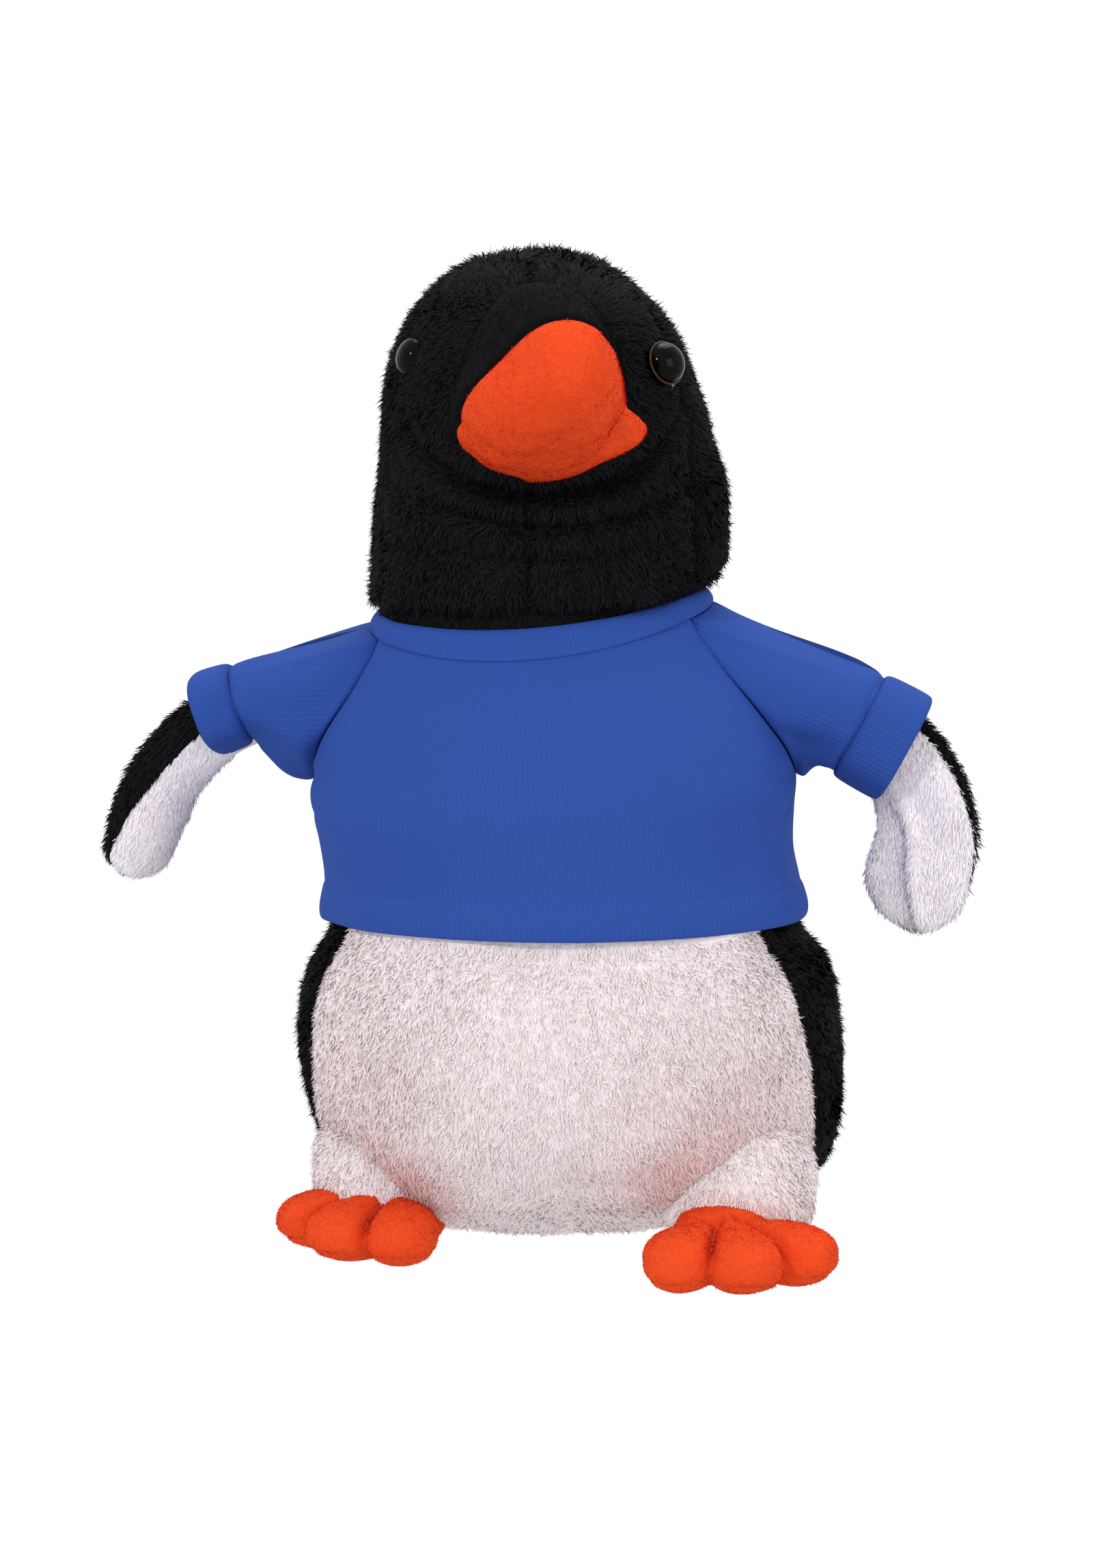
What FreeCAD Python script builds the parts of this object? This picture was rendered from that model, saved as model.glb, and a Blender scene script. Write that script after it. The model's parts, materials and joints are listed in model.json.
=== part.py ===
import FreeCAD, Part
import os
import re
import Sketcher

# A plush penguin in a raglan T-shirt, in millimetres. +Z is up and the penguin faces -Y.
# The origin lies on the floor under the middle of its bounding box.
# Left and right are as seen from the front: left is -X.

SIZES = [
    # trunk: one leaning axis carries the body, the neck and the head
    ("seat_x", 13.7, "X of the trunk axis at the floor"),
    ("trunk_y", 6.2, "Y of the trunk axis"),
    ("lean", 4.2, "degrees that the trunk leans to the left"),
    ("skin", 2.0, "thickness of the pile plush with its backing"),
    ("gap", 0.3, "clearance between bodies that move on each other"),
    ("panel_half", 66.0, "half the angle that the belly panel and the face span"),
    # body outline, as radius and height along the trunk axis
    ("base_dip", 3.0, "how far the rounded base would reach below the floor"),
    ("gusset_radius", 30.0, "radius of the seat gusset"),
    ("gusset_rise", 2.4, "height of the gusset's edge"),
    ("base_bend", 85.7, "radius of the rounded base"),
    ("haunch_radius", 42.0, "radius of the body where the base turns up"),
    ("haunch_height", 8.0, "height of the haunch"),
    ("haunch_bend", 36.0, "bend of the haunch"),
    ("belly_radius", 55.4, "greatest radius of the body"),
    ("belly_height", 36.0, "height of the greatest radius"),
    ("belly_bend", 48.0, "bend of the belly above it"),
    ("waist_radius", 47.9, "radius of the body under the shirt's hem"),
    ("waist_height", 63.0, "height of the waist"),
    ("armpit_height", 89.0, "height of the armpits"),
    ("shoulder_bend", 75.0, "bend from the armpits up to the neck"),
    ("collar_radius", 33.0, "radius of the body's top"),
    ("collar_height", 121.5, "height of the body's top"),
    # beans
    ("pouch_radius", 20.0, "flat radius of the pellet pouch"),
    ("pouch_low", 6.0, "underside of the pellet pouch"),
    ("pouch_high", 30.0, "top of the pellet pouch"),
    ("pouch_bend", 13.0, "bend of the pouch's edge"),
    ("pouch_cloth", 0.8, "thickness of the pouch's cloth"),
    # neck and head
    ("nod_height", 100.0, "height of the centre that the head nods about"),
    ("nod_radius", 44.0, "radius of the hollow under the head"),
    ("head_roll", 1.2, "degrees that the head leans to the right, although the trunk leans left"),
    ("neck_radius", 31.0, "radius of the neck"),
    ("rim_radius", 35.0, "radius of the head's lower rim"),
    ("cheek_bend", 101.0, "bend of the cheeks"),
    ("crown_radius", 33.5, "radius of the crown"),
    ("crown_height", 165.5, "height of the crown's centre"),
    # bill
    ("bill_height", 169.8, "height of the bill's root"),
    ("bill_root", 27.0, "how far the bill's root lies in front of the axis"),
    ("bill_tilt", 12.0, "degrees that the bill points up"),
    ("bill_turn", 14.0, "degrees that the bill points to the right"),
    ("bill_radius", 19.5, "radius at the root"),
    ("bill_neck", 17.3, "radius part of the way out"),
    ("bill_neck_at", 14.0, "where the bill starts to taper"),
    ("bill_length", 37.0, "length of the bill"),
    ("bill_tip", 9.0, "radius of the rounded tip"),
    ("bill_taper", 60.0, "bend of the tapering flanks"),
    ("bill_buried", 12.0, "how far the bill's root runs back into the face"),
    ("mouth_drop", 5.0, "how far the seam lies under the axis at the root"),
    ("mouth_rise", 14.0, "degrees that the seam climbs towards the tip"),
    ("fleece", 1.5, "thickness of the fleece"),
    # eyes
    ("eye_left_angle", 61.0, "degrees from the front to the left eye"),
    ("eye_right_angle", 48.0, "degrees from the front to the right eye"),
    ("eye_lift", 18.0, "degrees that an eye looks up"),
    ("eye_radius", 4.5, "radius of a safety eye"),
    ("eye_rim", 1.0, "thickness of its rim"),
    ("eye_dome", 3.2, "height of its dome"),
    ("shank_radius", 1.5, "radius of its shank"),
    ("shank_length", 12.0, "length of its shank"),
    ("washer_radius", 5.5, "radius of its lock washer"),
    ("washer_thick", 1.2, "thickness of its lock washer"),
    # legs and feet
    ("leg_left_x", -23.4, "X of the left leg"),
    ("leg_left_y", -18.0, "Y of the left leg"),
    ("leg_right_x", 46.5, "X of the right leg"),
    ("leg_right_y", -24.0, "Y of the right leg, which is put forward"),
    ("foot_left_x", -20.0, "X of the left heel"),
    ("foot_left_y", -25.0, "Y of the left heel"),
    ("foot_right_x", 44.0, "X of the right heel"),
    ("leg_height", 13.5, "height of a leg's middle"),
    ("leg_radius", 16.0, "radius of a leg stub"),
    ("heel_radius", 11.0, "radius of the instep over the heel"),
    ("toe_radius", 6.6, "radius of a stuffed toe"),
    ("toe_height", 5.2, "height of a toe's middle"),
    ("toe_length", 17.5, "from the heel's middle to the end of a toe's middle line"),
    ("toe_splay", 38.0, "degrees between neighbouring toes"),
    ("foot_left_turn", -32.0, "degrees that the left foot turns, minus is outwards"),
    ("foot_right_turn", 18.0, "degrees that the right foot turns, plus is outwards"),
    ("sole_thick", 1.4, "thickness of the sole"),
    ("thread_radius", 0.35, "radius of the toe stitches"),
    # wings and sleeves
    ("shoulder_reach", 42.5, "from the trunk axis to a shoulder"),
    ("shoulder_height", 107.0, "height of the shoulders along the trunk axis"),
    ("socket_radius", 17.0, "hollow in the body around a shoulder"),
    ("wing_drop", 9.0, "degrees that a wing can be pressed down from rest"),
    ("sleeve_ball", 13.2, "radius of the sleeve's head"),
    ("sleeve_radius", 12.0, "radius of a sleeve"),
    ("sleeve_length", 30.5, "from the shoulder to the sleeve's end"),
    ("sleeve_left_slope", 15.0, "degrees that the left sleeve falls"),
    ("sleeve_right_slope", 24.0, "degrees that the right sleeve falls"),
    ("cuff_width", 8.0, "width of a cuff"),
    ("cuff_proud", 0.7, "how far a cuff stands out from its sleeve"),
    ("elbow_reach", 38.0, "from the shoulder to the bend of the wing"),
    ("wing_root_radius", 6.5, "half the width of the wing in the sleeve"),
    ("wing_radius", 10.0, "half the width of the free wing"),
    ("wing_length", 25.0, "from the bend to the middle of the rounded tip"),
    ("wing_left_bend", 52.0, "degrees that the left wing bends down at the cuff"),
    ("wing_right_bend", 68.0, "degrees that the right wing bends down at the cuff"),
    ("wing_plush", 3.0, "thickness of one side of the wing"),
    ("wing_wadding", 2.0, "thickness of the wadding between them"),
    # shirt
    ("knit", 1.0, "thickness of the knit"),
    ("ease", 0.3, "space between the shirt and the body"),
    ("hem_height", 61.5, "height of the shirt's lower edge"),
    ("hem_width", 8.0, "width of the hem band"),
    ("hem_proud", 0.8, "how far the hem band stands out"),
    ("band_low", 119.0, "lower edge of the neckband"),
    ("band_high", 126.0, "upper edge of the neckband"),
    ("band_radius", 34.6, "outer radius of the neckband's upper edge"),
    ("band_spread", 1.6, "how much wider its lower edge is"),
    ("band_thick", 1.6, "thickness of the neckband"),
]

doc = FreeCAD.newDocument("plush_penguin")
sheet = doc.addObject("Spreadsheet::Sheet", "Sizes")
for row, (alias, number, meaning) in enumerate(SIZES, start=1):
    sheet.set(f"A{row}", meaning)
    sheet.set(f"B{row}", str(number))
    sheet.setAlias(f"B{row}", alias)
doc.recompute()


def cells(formula):
    """A formula in which every size's name is replaced by its cell in the sheet."""
    names = {alias for alias, number, meaning in SIZES}
    return re.sub(r"[a-z_]+", lambda word: "Sizes." + word[0] if word[0] in names else word[0], formula)


def value(formula):
    return float(sheet.evalExpression(cells(formula)))


def at(x="0", y="0", z="0", turn_axis="0; 0; 1", turn="0"):
    """A placement as a formula: a point, and a turn about an axis through it."""
    return f"placement(vector({x}; {y}; {z}); rotation(vector({turn_axis}); {turn}))"


ABOUT_X = "1; 0; 0"
ABOUT_Y = "0; 1; 0"
TRUNK = at("seat_x", "trunk_y", "0", ABOUT_Y, "- lean")
NOD = at(z="nod_height", turn_axis=ABOUT_Y, turn="lean + head_roll")
HEAD = f"{TRUNK} * {NOD} * {at(z='- nod_height')}"
SIDES = {"left": -1, "right": 1}


def place(thing, placement):
    thing.setExpression("Placement", cells(placement))


# ---------- sketches and primitives ----------

def origin_plane(body, role):
    return next(f for f in body.Origin.OriginFeatures if f.Role == role)


def bind(sketch, index, formula):
    sketch.setExpression(f"Constraints[{index}]", cells(formula))


def bent_edge(start, end, radius):
    """An arc of the given radius; it bulges to the right of its direction of travel if radius > 0."""
    along = end - start
    side = FreeCAD.Vector(along.y, -along.x, 0).normalize() * (1 if radius > 0 else -1)
    sag = abs(radius) - (radius * radius - along.Length ** 2 / 4) ** 0.5
    return Part.Arc(start, (start + end) * 0.5 + side * sag, end)


def outline(body, corners):
    """A closed sketch through corners (radius, height, bend of the edge that follows, or None)."""
    sketch = body.newObject("Sketcher::SketchObject", body.Name + "_outline")
    sketch.AttachmentSupport = [(origin_plane(body, "XZ_Plane"), "")]
    sketch.MapMode = "FlatFace"
    points = [FreeCAD.Vector(value(x), value(y), 0) for x, y, bend in corners]
    for i, (x, y, bend) in enumerate(corners):
        start, end = points[i], points[(i + 1) % len(points)]
        if bend is None:
            sketch.addGeometry(Part.LineSegment(start, end), False)
        else:
            sketch.addGeometry(bent_edge(start, end, value(bend)), False)
    ends = []
    for i, (x, y, bend) in enumerate(corners):
        # an arc of a sketch runs anticlockwise, so its first point may be either end of the edge
        first = sketch.getPoint(i, 1).distanceToPoint(points[i]) < 1e-6
        ends.append((1, 2) if first else (2, 1))
    for i, (x, y, bend) in enumerate(corners):
        for kind, formula, axis in (("DistanceX", x, -2), ("DistanceY", y, -1)):
            if abs(value(formula)) < 1e-9:
                sketch.addConstraint(Sketcher.Constraint("PointOnObject", i, ends[i][0], axis))
            else:
                sized = Sketcher.Constraint(kind, -1, 1, i, ends[i][0], value(formula))
                bind(sketch, sketch.addConstraint(sized), formula)
        follower = (i + 1) % len(corners)
        sketch.addConstraint(Sketcher.Constraint("Coincident", i, ends[i][1], follower, ends[follower][0]))
        if bend is not None:
            curved = Sketcher.Constraint("Radius", i, abs(value(bend)))
            bind(sketch, sketch.addConstraint(curved), f"abs({bend})")
    return sketch


def revolved(name, corners, placement=TRUNK, start="0", sweep="360"):
    """A body turned from an outline about its own Z, from the angle start through sweep degrees."""
    body = doc.addObject("PartDesign::Body", name)
    sketch = outline(body, corners)
    turned = body.newObject("PartDesign::Revolution", name + "_turned")
    turned.Profile = sketch
    turned.ReferenceAxis = (sketch, ["V_Axis"])
    turned.setExpression("Angle", cells(sweep))
    place(body, f"{placement} * {at(turn=start)}")
    return body


def primitive(kind, name, placement, **sizes):
    shape = doc.addObject("Part::" + kind, name)
    for size, formula in sizes.items():
        shape.setExpression(size, cells(formula))
    place(shape, placement)
    return shape


def ball(name, placement, radius):
    return primitive("Sphere", name, placement, Radius=radius)


def rod(name, placement, radius, length):
    return primitive("Cylinder", name, placement, Radius=radius, Height=length)


def fuse(name, shapes):
    joined = doc.addObject("Part::MultiFuse", name)
    joined.Shapes = shapes
    return joined


def cut(name, base, tools):
    """The base less all the tools."""
    tool = tools[0] if len(tools) == 1 else fuse(name + "_tools", tools)
    result = doc.addObject("Part::Cut", name)
    result.Base = base
    result.Tool = tool
    return result


def common(name, first, second):
    result = doc.addObject("Part::Common", name)
    result.Base = first
    result.Tool = second
    return result


NODES = {}


def node(label, shape):
    """Names a finished piece; the name is its node's and its file's."""
    shape.Label = label
    NODES[label] = shape
    return shape


# ---------- tools shared by several pieces ----------

def floor_slab(name, low, high):
    """A wide slab between two heights in the object's own frame."""
    wide = "4 * belly_radius"
    return primitive("Box", name, at(f"- {wide} / 2", f"- {wide} / 2", low),
                     Length=wide, Width=wide, Height=f"{high} - ({low})")


def body_outline(inset):
    """Corners of the body's side from the gusset's edge up to the collar, moved in by inset."""
    return [
        ("gusset_radius", f"gusset_rise + {inset}", f"base_bend - {inset}"),
        (f"haunch_radius - {inset} * 0.55", f"haunch_height + {inset} * 0.83", f"haunch_bend - {inset}"),
        (f"belly_radius - {inset}", "belly_height", f"belly_bend - {inset}"),
        (f"waist_radius - {inset}", "waist_height", None),
        (f"waist_radius - {inset}", "armpit_height", f"shoulder_bend - {inset}"),
        (f"collar_radius - {inset}", "collar_height", None),
    ]


def turned_back(corners):
    """The same outline walked the other way; each bend moves to its edge's other end and flips."""
    points = [(x, y) for x, y, bend in corners][::-1]
    bends = [bend for x, y, bend in corners][-2::-1]
    flipped = [None if bend is None else f"- ({bend})" for bend in bends]
    return [(x, y, bend) for (x, y), bend in zip(points, flipped + [None])]


BASE_LOW = ("0", "- base_dip", "base_bend")


def shoulder(side):
    """The placement of a shoulder, with X pointing down its sleeve."""
    sign = SIDES[side]
    out = at(f"{sign} * shoulder_reach", "0", "shoulder_height")
    upright = at(turn_axis=ABOUT_Y, turn="lean")
    away = at(turn="0" if sign > 0 else "180")
    slope = at(turn_axis=ABOUT_Y, turn=f"sleeve_{side}_slope")
    return f"{TRUNK} * {out} * {upright} * {away} * {slope}"



def make_socket(side):
    """The space round a shoulder, and the hollow that a dropped sleeve presses into the body."""
    shapes = [ball(f"socket_{side}_ball", shoulder(side), "socket_radius")]
    for share in (0.5, 1):
        dropped = f"{shoulder(side)} * {at(turn_axis=ABOUT_Y, turn=f'90 + {share} * wing_drop')}"
        shapes.append(rod(f"socket_{side}_{share * 2:g}", dropped, "sleeve_radius + cuff_proud",
                          "sleeve_length + gap"))
    return fuse(f"socket_{side}", shapes)


sockets = [make_socket(side) for side in SIDES]
below_floor = floor_slab("below_floor", "- 2 * base_bend", "0")
body_form = revolved("body_form", [BASE_LOW, *body_outline("0"), ("0", "collar_height", None)])


# ---------- body ----------

def make_body():
    """Three side panels, the seat gusset, the stuffing and the bag of pellets at the bottom."""
    side = body_outline("0") + turned_back(body_outline("skin"))
    panels = {
        "belly_panel": ("- 90 - panel_half", "2 * panel_half"),
        "back_panel_right": ("panel_half - 90", "180 - panel_half"),
        "back_panel_left": ("90", "180 - panel_half"),
    }
    for name, (start, sweep) in panels.items():
        raw = revolved(name + "_raw", side, start=start, sweep=sweep)
        node(name, cut(name, raw, [below_floor, *sockets]))
    inner_low = ("0", "skin - base_dip", "base_bend - skin")
    gusset = [BASE_LOW, ("gusset_radius", "gusset_rise", None),
              ("gusset_radius", "gusset_rise + skin", "- (base_bend - skin)"),
              ("0", "skin - base_dip", None)]
    # the floor presses the gusset flat, and it keeps its thickness there
    dished = cut("seat_dished", revolved("seat_raw", gusset), [below_floor])
    flat = common("seat_flat", body_form, floor_slab("seat_slab", "0", "skin"))
    core = rod("seat_core", TRUNK + " * " + at(z="- base_dip"), "gusset_radius", "2 * belly_height")
    node("seat_panel", fuse("seat_panel", [dished, common("seat_flat_core", flat, core)]))
    inner = "pouch_cloth"
    stuffing = [("0", "pouch_high", None), ("pouch_radius", "pouch_high", "- pouch_bend"),
                ("pouch_radius", "pouch_low", None), ("0", "pouch_low", None), inner_low,
                *body_outline("skin"), ("0", "collar_height", None)]
    filled = revolved("torso_stuffing_raw", stuffing)
    slab = floor_slab("under_stuffing", "- 2 * base_bend", "skin")
    node("torso_stuffing", cut("torso_stuffing", filled, [slab, *sockets]))
    bag = [("0", "pouch_low", None), ("pouch_radius", "pouch_low", "pouch_bend"),
           ("pouch_radius", "pouch_high", None), ("0", "pouch_high", None),
           ("0", f"pouch_high - {inner}", None),
           ("pouch_radius", f"pouch_high - {inner}", f"{inner} - pouch_bend"),
           ("pouch_radius", f"pouch_low + {inner}", None), ("0", f"pouch_low + {inner}", None)]
    node("pellet_pouch", revolved("pellet_pouch", bag))
    beans = [("0", f"pouch_low + {inner}", None),
             ("pouch_radius", f"pouch_low + {inner}", f"pouch_bend - {inner}"),
             ("pouch_radius", f"pouch_high - {inner}", None), ("0", f"pouch_high - {inner}", None)]
    node("pellets", revolved("pellets", beans))


# ---------- neck and head ----------

def on_nod_sphere(radius, inset="0"):
    """Height at which the sphere that the head nods on has the given radius."""
    return f"nod_height + sqrt((nod_radius - {inset}) ^ 2 - ({radius}) ^ 2)"


def head_outline(inset):
    """Corners of the head from its lower rim to the crown, moved in by inset."""
    rim = f"(rim_radius - {inset})"
    return [
        (rim, on_nod_sphere(rim), f"cheek_bend - {inset}"),
        (f"crown_radius - {inset}", "crown_height", f"crown_radius - {inset}"),
        ("0", f"crown_height + crown_radius - {inset}", None),
    ]


def make_neck():
    """The stuffed neck: it turns on the body, and the head nods over its domed top."""
    low = "collar_height + gap"
    dome = "nod_radius - gap"
    corners = [("0", low, None), ("neck_radius", low, None),
               ("neck_radius", on_nod_sphere("neck_radius", "gap"), dome),
               ("0", f"nod_height + {dome}", None)]
    node("neck_stuffing", revolved("neck_stuffing", corners))


def bill_placement():
    """The bill's root, with Z along the bill."""
    root = at("0", "- bill_root", "bill_height", turn="bill_turn")
    tilt = at(turn_axis=ABOUT_X, turn="90 - bill_tilt")
    return f"{HEAD} * {root} * {tilt}"


def bill_outline(inset):
    """Corners of the bill from its buried root to its tip, moved in by inset."""
    tip = f"(bill_tip - {inset})"
    tip_middle = "bill_length - bill_tip"
    return [
        ("0", "- bill_buried", None),
        (f"bill_radius - {inset}", "- bill_buried", None),
        (f"bill_neck - {inset}", "bill_neck_at", f"bill_taper - {inset}"),
        (f"{tip} * cos(30)", f"{tip_middle} + {tip} * sin(30)", tip),
        ("0", f"bill_length - {inset}", None),
    ]


def eye_placement(side):
    """The point on the head's surface behind an eye, with Z looking out."""
    turn = f"{SIDES[side]} * eye_{side}_angle"
    middle = at(z="crown_height")
    aim = at(turn_axis=ABOUT_X, turn="90 - eye_lift")
    surface = at(z="crown_radius - eye_rim / 2")
    return f"{HEAD} * {at(turn=turn)} * {middle} * {aim} * {surface}"


def make_eye(side):
    """A domed safety eye on a shank, and the washer that locks it inside the head."""
    dome_bend = "(eye_radius ^ 2 + eye_dome ^ 2) / (2 * eye_dome)"
    corners = [("0", "- shank_length", None), ("shank_radius", "- shank_length", None),
               ("shank_radius", "0", None), ("eye_radius", "0", None),
               ("eye_radius", "eye_rim", dome_bend), ("0", "eye_rim + eye_dome", None)]
    eye = node(f"eye_{side}", revolved(f"eye_{side}", corners, eye_placement(side)))
    low = "- skin - washer_thick - eye_rim"
    ring = [("shank_radius", low, None), ("washer_radius", low, None),
            ("washer_radius", f"{low} + washer_thick", None),
            ("shank_radius", f"{low} + washer_thick", None)]
    washer = node(f"eye_washer_{side}", revolved(f"eye_washer_{side}", ring, eye_placement(side)))
    return [eye, washer]


def make_head():
    """Two face panels, a back panel, the stuffing, the eyes, and the bill on the face."""
    hardware = [piece for side in SIDES for piece in make_eye(side)]
    wall = head_outline("0") + turned_back(head_outline("skin"))
    panels = {
        "face_panel_left": ("- 90 - panel_half", "panel_half"),
        "face_panel_right": ("- 90", "panel_half"),
        "head_back_panel": ("panel_half - 90", "360 - 2 * panel_half"),
    }
    for name, (start, sweep) in panels.items():
        raw = revolved(name + "_raw", wall, HEAD, start, sweep)
        node(name, cut(name, raw, hardware))
    hollow = ("0", "nod_height + nod_radius", "- nod_radius")
    filled = revolved("head_stuffing_raw", [hollow, *head_outline("skin")], HEAD)
    node("head_stuffing", cut("head_stuffing", filled, hardware))
    head_form = revolved("head_form", [hollow, *head_outline("0")], HEAD)
    whole = revolved("bill_form", bill_outline("0"), bill_placement())
    inside = revolved("bill_inside", bill_outline("fleece"), bill_placement())
    node("bill_stuffing", cut("bill_stuffing", inside, [head_form]))
    shell = cut("bill_shell", whole, [head_form, inside])
    reach = "4 * bill_length"
    seam = f"{bill_placement()} * {at(y='- mouth_drop', turn_axis=ABOUT_X, turn='- mouth_rise')}"
    corner = at(f"- {reach} / 2", f"- {reach}", f"- {reach} / 2")
    under = primitive("Box", "under_seam", f"{seam} * {corner}",
                      Length=reach, Width=reach, Height=reach)
    node("bill_lower", common("bill_lower", shell, under))
    node("bill_upper", cut("bill_upper", shell, [under]))


# ---------- legs and feet ----------

def foot_placement(side):
    """The middle of the heel; the right foot's middle toe reaches as far forward as the back does back."""
    front_y = "toe_radius + toe_length * cos(foot_right_turn) - belly_radius - trunk_y"
    heel_y = front_y if side == "right" else "foot_left_y"
    return at(f"foot_{side}_x", heel_y, "0", turn=f"foot_{side}_turn")


def foot_form(name, side, inset):
    """Three toes like sausages that fan out from the heel, and the instep over them."""
    shapes = [ball(name + "_heel", f"{foot_placement(side)} * {at(z='toe_height - 2')}",
                   f"heel_radius - {inset}")]
    radius = f"(toe_radius - {inset})"
    toe = [("0", "0", None), (radius, "0", None), (radius, "toe_length", radius),
           ("0", f"toe_length + {radius}", None)]
    forward = at(turn_axis=ABOUT_X, turn="90")
    for number, step in enumerate((-1, 0, 1), start=1):
        splayed = f"{foot_placement(side)} * {at(z='toe_height', turn=f'{step} * toe_splay')}"
        shapes.append(revolved(f"{name}_toe_{number}", toe, f"{splayed} * {forward}"))
    return fuse(name, shapes)


def toe_stitches(side):
    """The two threads that pull in the creases between the toes."""
    threads = []
    for number, step in enumerate((-0.5, 0.5), start=1):
        height = "toe_height + toe_radius * 0.62"
        lane = f"{foot_placement(side)} * {at(z=height, turn=f'{step} * toe_splay')}"
        start = at(y="- heel_radius", turn_axis=ABOUT_X, turn="98")
        threads.append(rod(f"thread_{side}_{number}", f"{lane} * {start}", "thread_radius",
                           "toe_length * 0.55"))
    return fuse(f"toe_stitches_{side}", threads)


def make_leg_and_foot(side):
    outer = foot_form(f"foot_{side}_outer", side, "0")
    inner = foot_form(f"foot_{side}_inner", side, "fleece")
    slab = floor_slab(f"sole_slab_{side}", "0", "sole_thick")
    under = floor_slab(f"under_sole_{side}", "- 2 * belly_radius", "sole_thick")
    threads = node(f"toe_stitches_{side}", toe_stitches(side))
    node(f"foot_sole_{side}", common(f"foot_sole_{side}", outer, slab))
    node(f"foot_top_{side}", cut(f"foot_top_{side}", outer, [under, inner, threads, body_form]))
    node(f"foot_stuffing_{side}", cut(f"foot_stuffing_{side}", inner, [under, threads, body_form]))
    stub = ball(f"leg_ball_{side}", at(f"leg_{side}_x", f"leg_{side}_y", "leg_height"), "leg_radius")
    outer_again = foot_form(f"foot_{side}_space", side, "0")
    node(f"leg_{side}", cut(f"leg_{side}", stub, [outer_again, body_form, below_floor]))


# ---------- wings and sleeves ----------

def wing_layer(side, name, front, thick):
    """One flat layer of the wing between two depths: a strap in the sleeve, and the free paddle."""
    root = f"{shoulder(side)} * {at(turn='0' if side == 'right' else '180')}"
    sign = SIDES[side]
    flat = at(turn_axis=ABOUT_X, turn="90")
    back = f"- ({front})"

    def disc(part, placement, radius):
        return rod(f"{name}_{part}", f"{placement} * {at(y=back)} * {flat}", radius, thick)

    def strap(part, placement, length, half_width):
        corner = at("0" if sign > 0 else f"- {length}", f"{back} - {thick}", f"- {half_width}")
        return primitive("Box", f"{name}_{part}", f"{placement} * {corner}",
                         Length=length, Width=thick, Height=f"2 * {half_width}")

    elbow = f"{root} * {at(f'{sign} * elbow_reach', turn_axis=ABOUT_Y, turn=f'{sign} * wing_{side}_bend')}"
    tip = f"{elbow} * {at(f'{sign} * wing_length')}"
    return fuse(name, [
        disc("root", root, "wing_root_radius"),
        strap("strap", root, "elbow_reach", "wing_root_radius"),
        disc("elbow", elbow, "wing_radius"),
        strap("paddle", elbow, "wing_length", "wing_radius"),
        disc("tip", tip, "wing_radius"),
    ])


def make_wing(side):
    """White plush in front, wadding, and black plush behind."""
    layers = {
        f"wing_inner_{side}": ("wing_wadding / 2", "wing_plush"),
        f"wing_wadding_{side}": ("- wing_wadding / 2", "wing_wadding"),
        f"wing_outer_{side}": ("- wing_wadding / 2 - wing_plush", "wing_plush"),
    }
    for name, (front, thick) in layers.items():
        node(name, wing_layer(side, name, front, thick))


def make_sleeve(side):
    """A bell whose head is round about the shoulder, with a cuff at its end."""
    along = f"{shoulder(side)} * {at(turn_axis=ABOUT_Y, turn='90')}"
    inner_ball = "(sleeve_ball - knit)"
    inner = "(sleeve_radius - knit)"
    seam = "sleeve_length - cuff_width"
    bell = [
        ("sleeve_ball", "0", "sleeve_ball"),
        ("sleeve_radius", "sqrt(sleeve_ball ^ 2 - sleeve_radius ^ 2)", None),
        ("sleeve_radius", seam, None),
        (inner, seam, None),
        (inner, f"sqrt({inner_ball} ^ 2 - {inner} ^ 2)", f"- {inner_ball}"),
        (inner_ball, "0", None),
    ]
    node(f"sleeve_{side}", revolved(f"sleeve_{side}", bell, along))
    ring = [(inner, seam, None), ("sleeve_radius + cuff_proud", seam, None),
            ("sleeve_radius + cuff_proud", "sleeve_length", None), (inner, "sleeve_length", None)]
    node(f"cuff_{side}", revolved(f"cuff_{side}", ring, along))


# ---------- shirt ----------

def shirt_wall(inset):
    """Corners of the shirt from the hem band's seam up to the neckband, moved in by inset."""
    out = "waist_radius + ease + knit"
    return [
        (f"{out} - {inset}", "hem_height + hem_width", None),
        (f"{out} - {inset}", "armpit_height", f"shoulder_bend - {inset}"),
        (f"band_radius + band_spread - {inset}", "band_low", None),
    ]


def make_shirt():
    """Front and back with side seams, cut away at the sleeves, and the neck and hem bands."""
    wall = shirt_wall("0") + turned_back(shirt_wall("knit"))
    for name, start in (("shirt_front", "180"), ("shirt_back", "0")):
        raw = revolved(name + "_raw", wall, start=start, sweep="180")
        node(name, cut(name, raw, sockets))
    out = "waist_radius + ease + knit"
    ring = [(f"{out} - knit", "hem_height", None), (f"{out} + hem_proud", "hem_height", None),
            (f"{out} + hem_proud", "hem_height + hem_width", None),
            (f"{out} - knit", "hem_height + hem_width", None)]
    node("hem_band", cut("hem_band", revolved("hem_band_raw", ring), [body_form]))
    spread = "band_radius + band_spread"
    collar = [(f"{spread} - band_thick", "band_low", None), (spread, "band_low", None),
              ("band_radius", "band_high", None), ("band_radius - band_thick", "band_high", None)]
    node("neckband", cut("neckband", revolved("neckband_raw", collar), [body_form]))


make_body()
make_neck()
make_head()
for side in SIDES:
    make_leg_and_foot(side)
    make_wing(side)
    make_sleeve(side)
make_shirt()
doc.recompute()

for thing in doc.Objects:
    if {"Invalid", "Error"} & set(thing.State):
        raise ValueError(f"{thing.Name} failed: {thing.State}")
for label, piece in NODES.items():
    if piece.Shape.isNull() or not piece.Shape.isValid():
        raise ValueError(f"{label} has no valid shape")

os.makedirs("parts", exist_ok=True)
for label, piece in NODES.items():
    piece.Shape.exportStep(f"parts/{label}.step")

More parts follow.
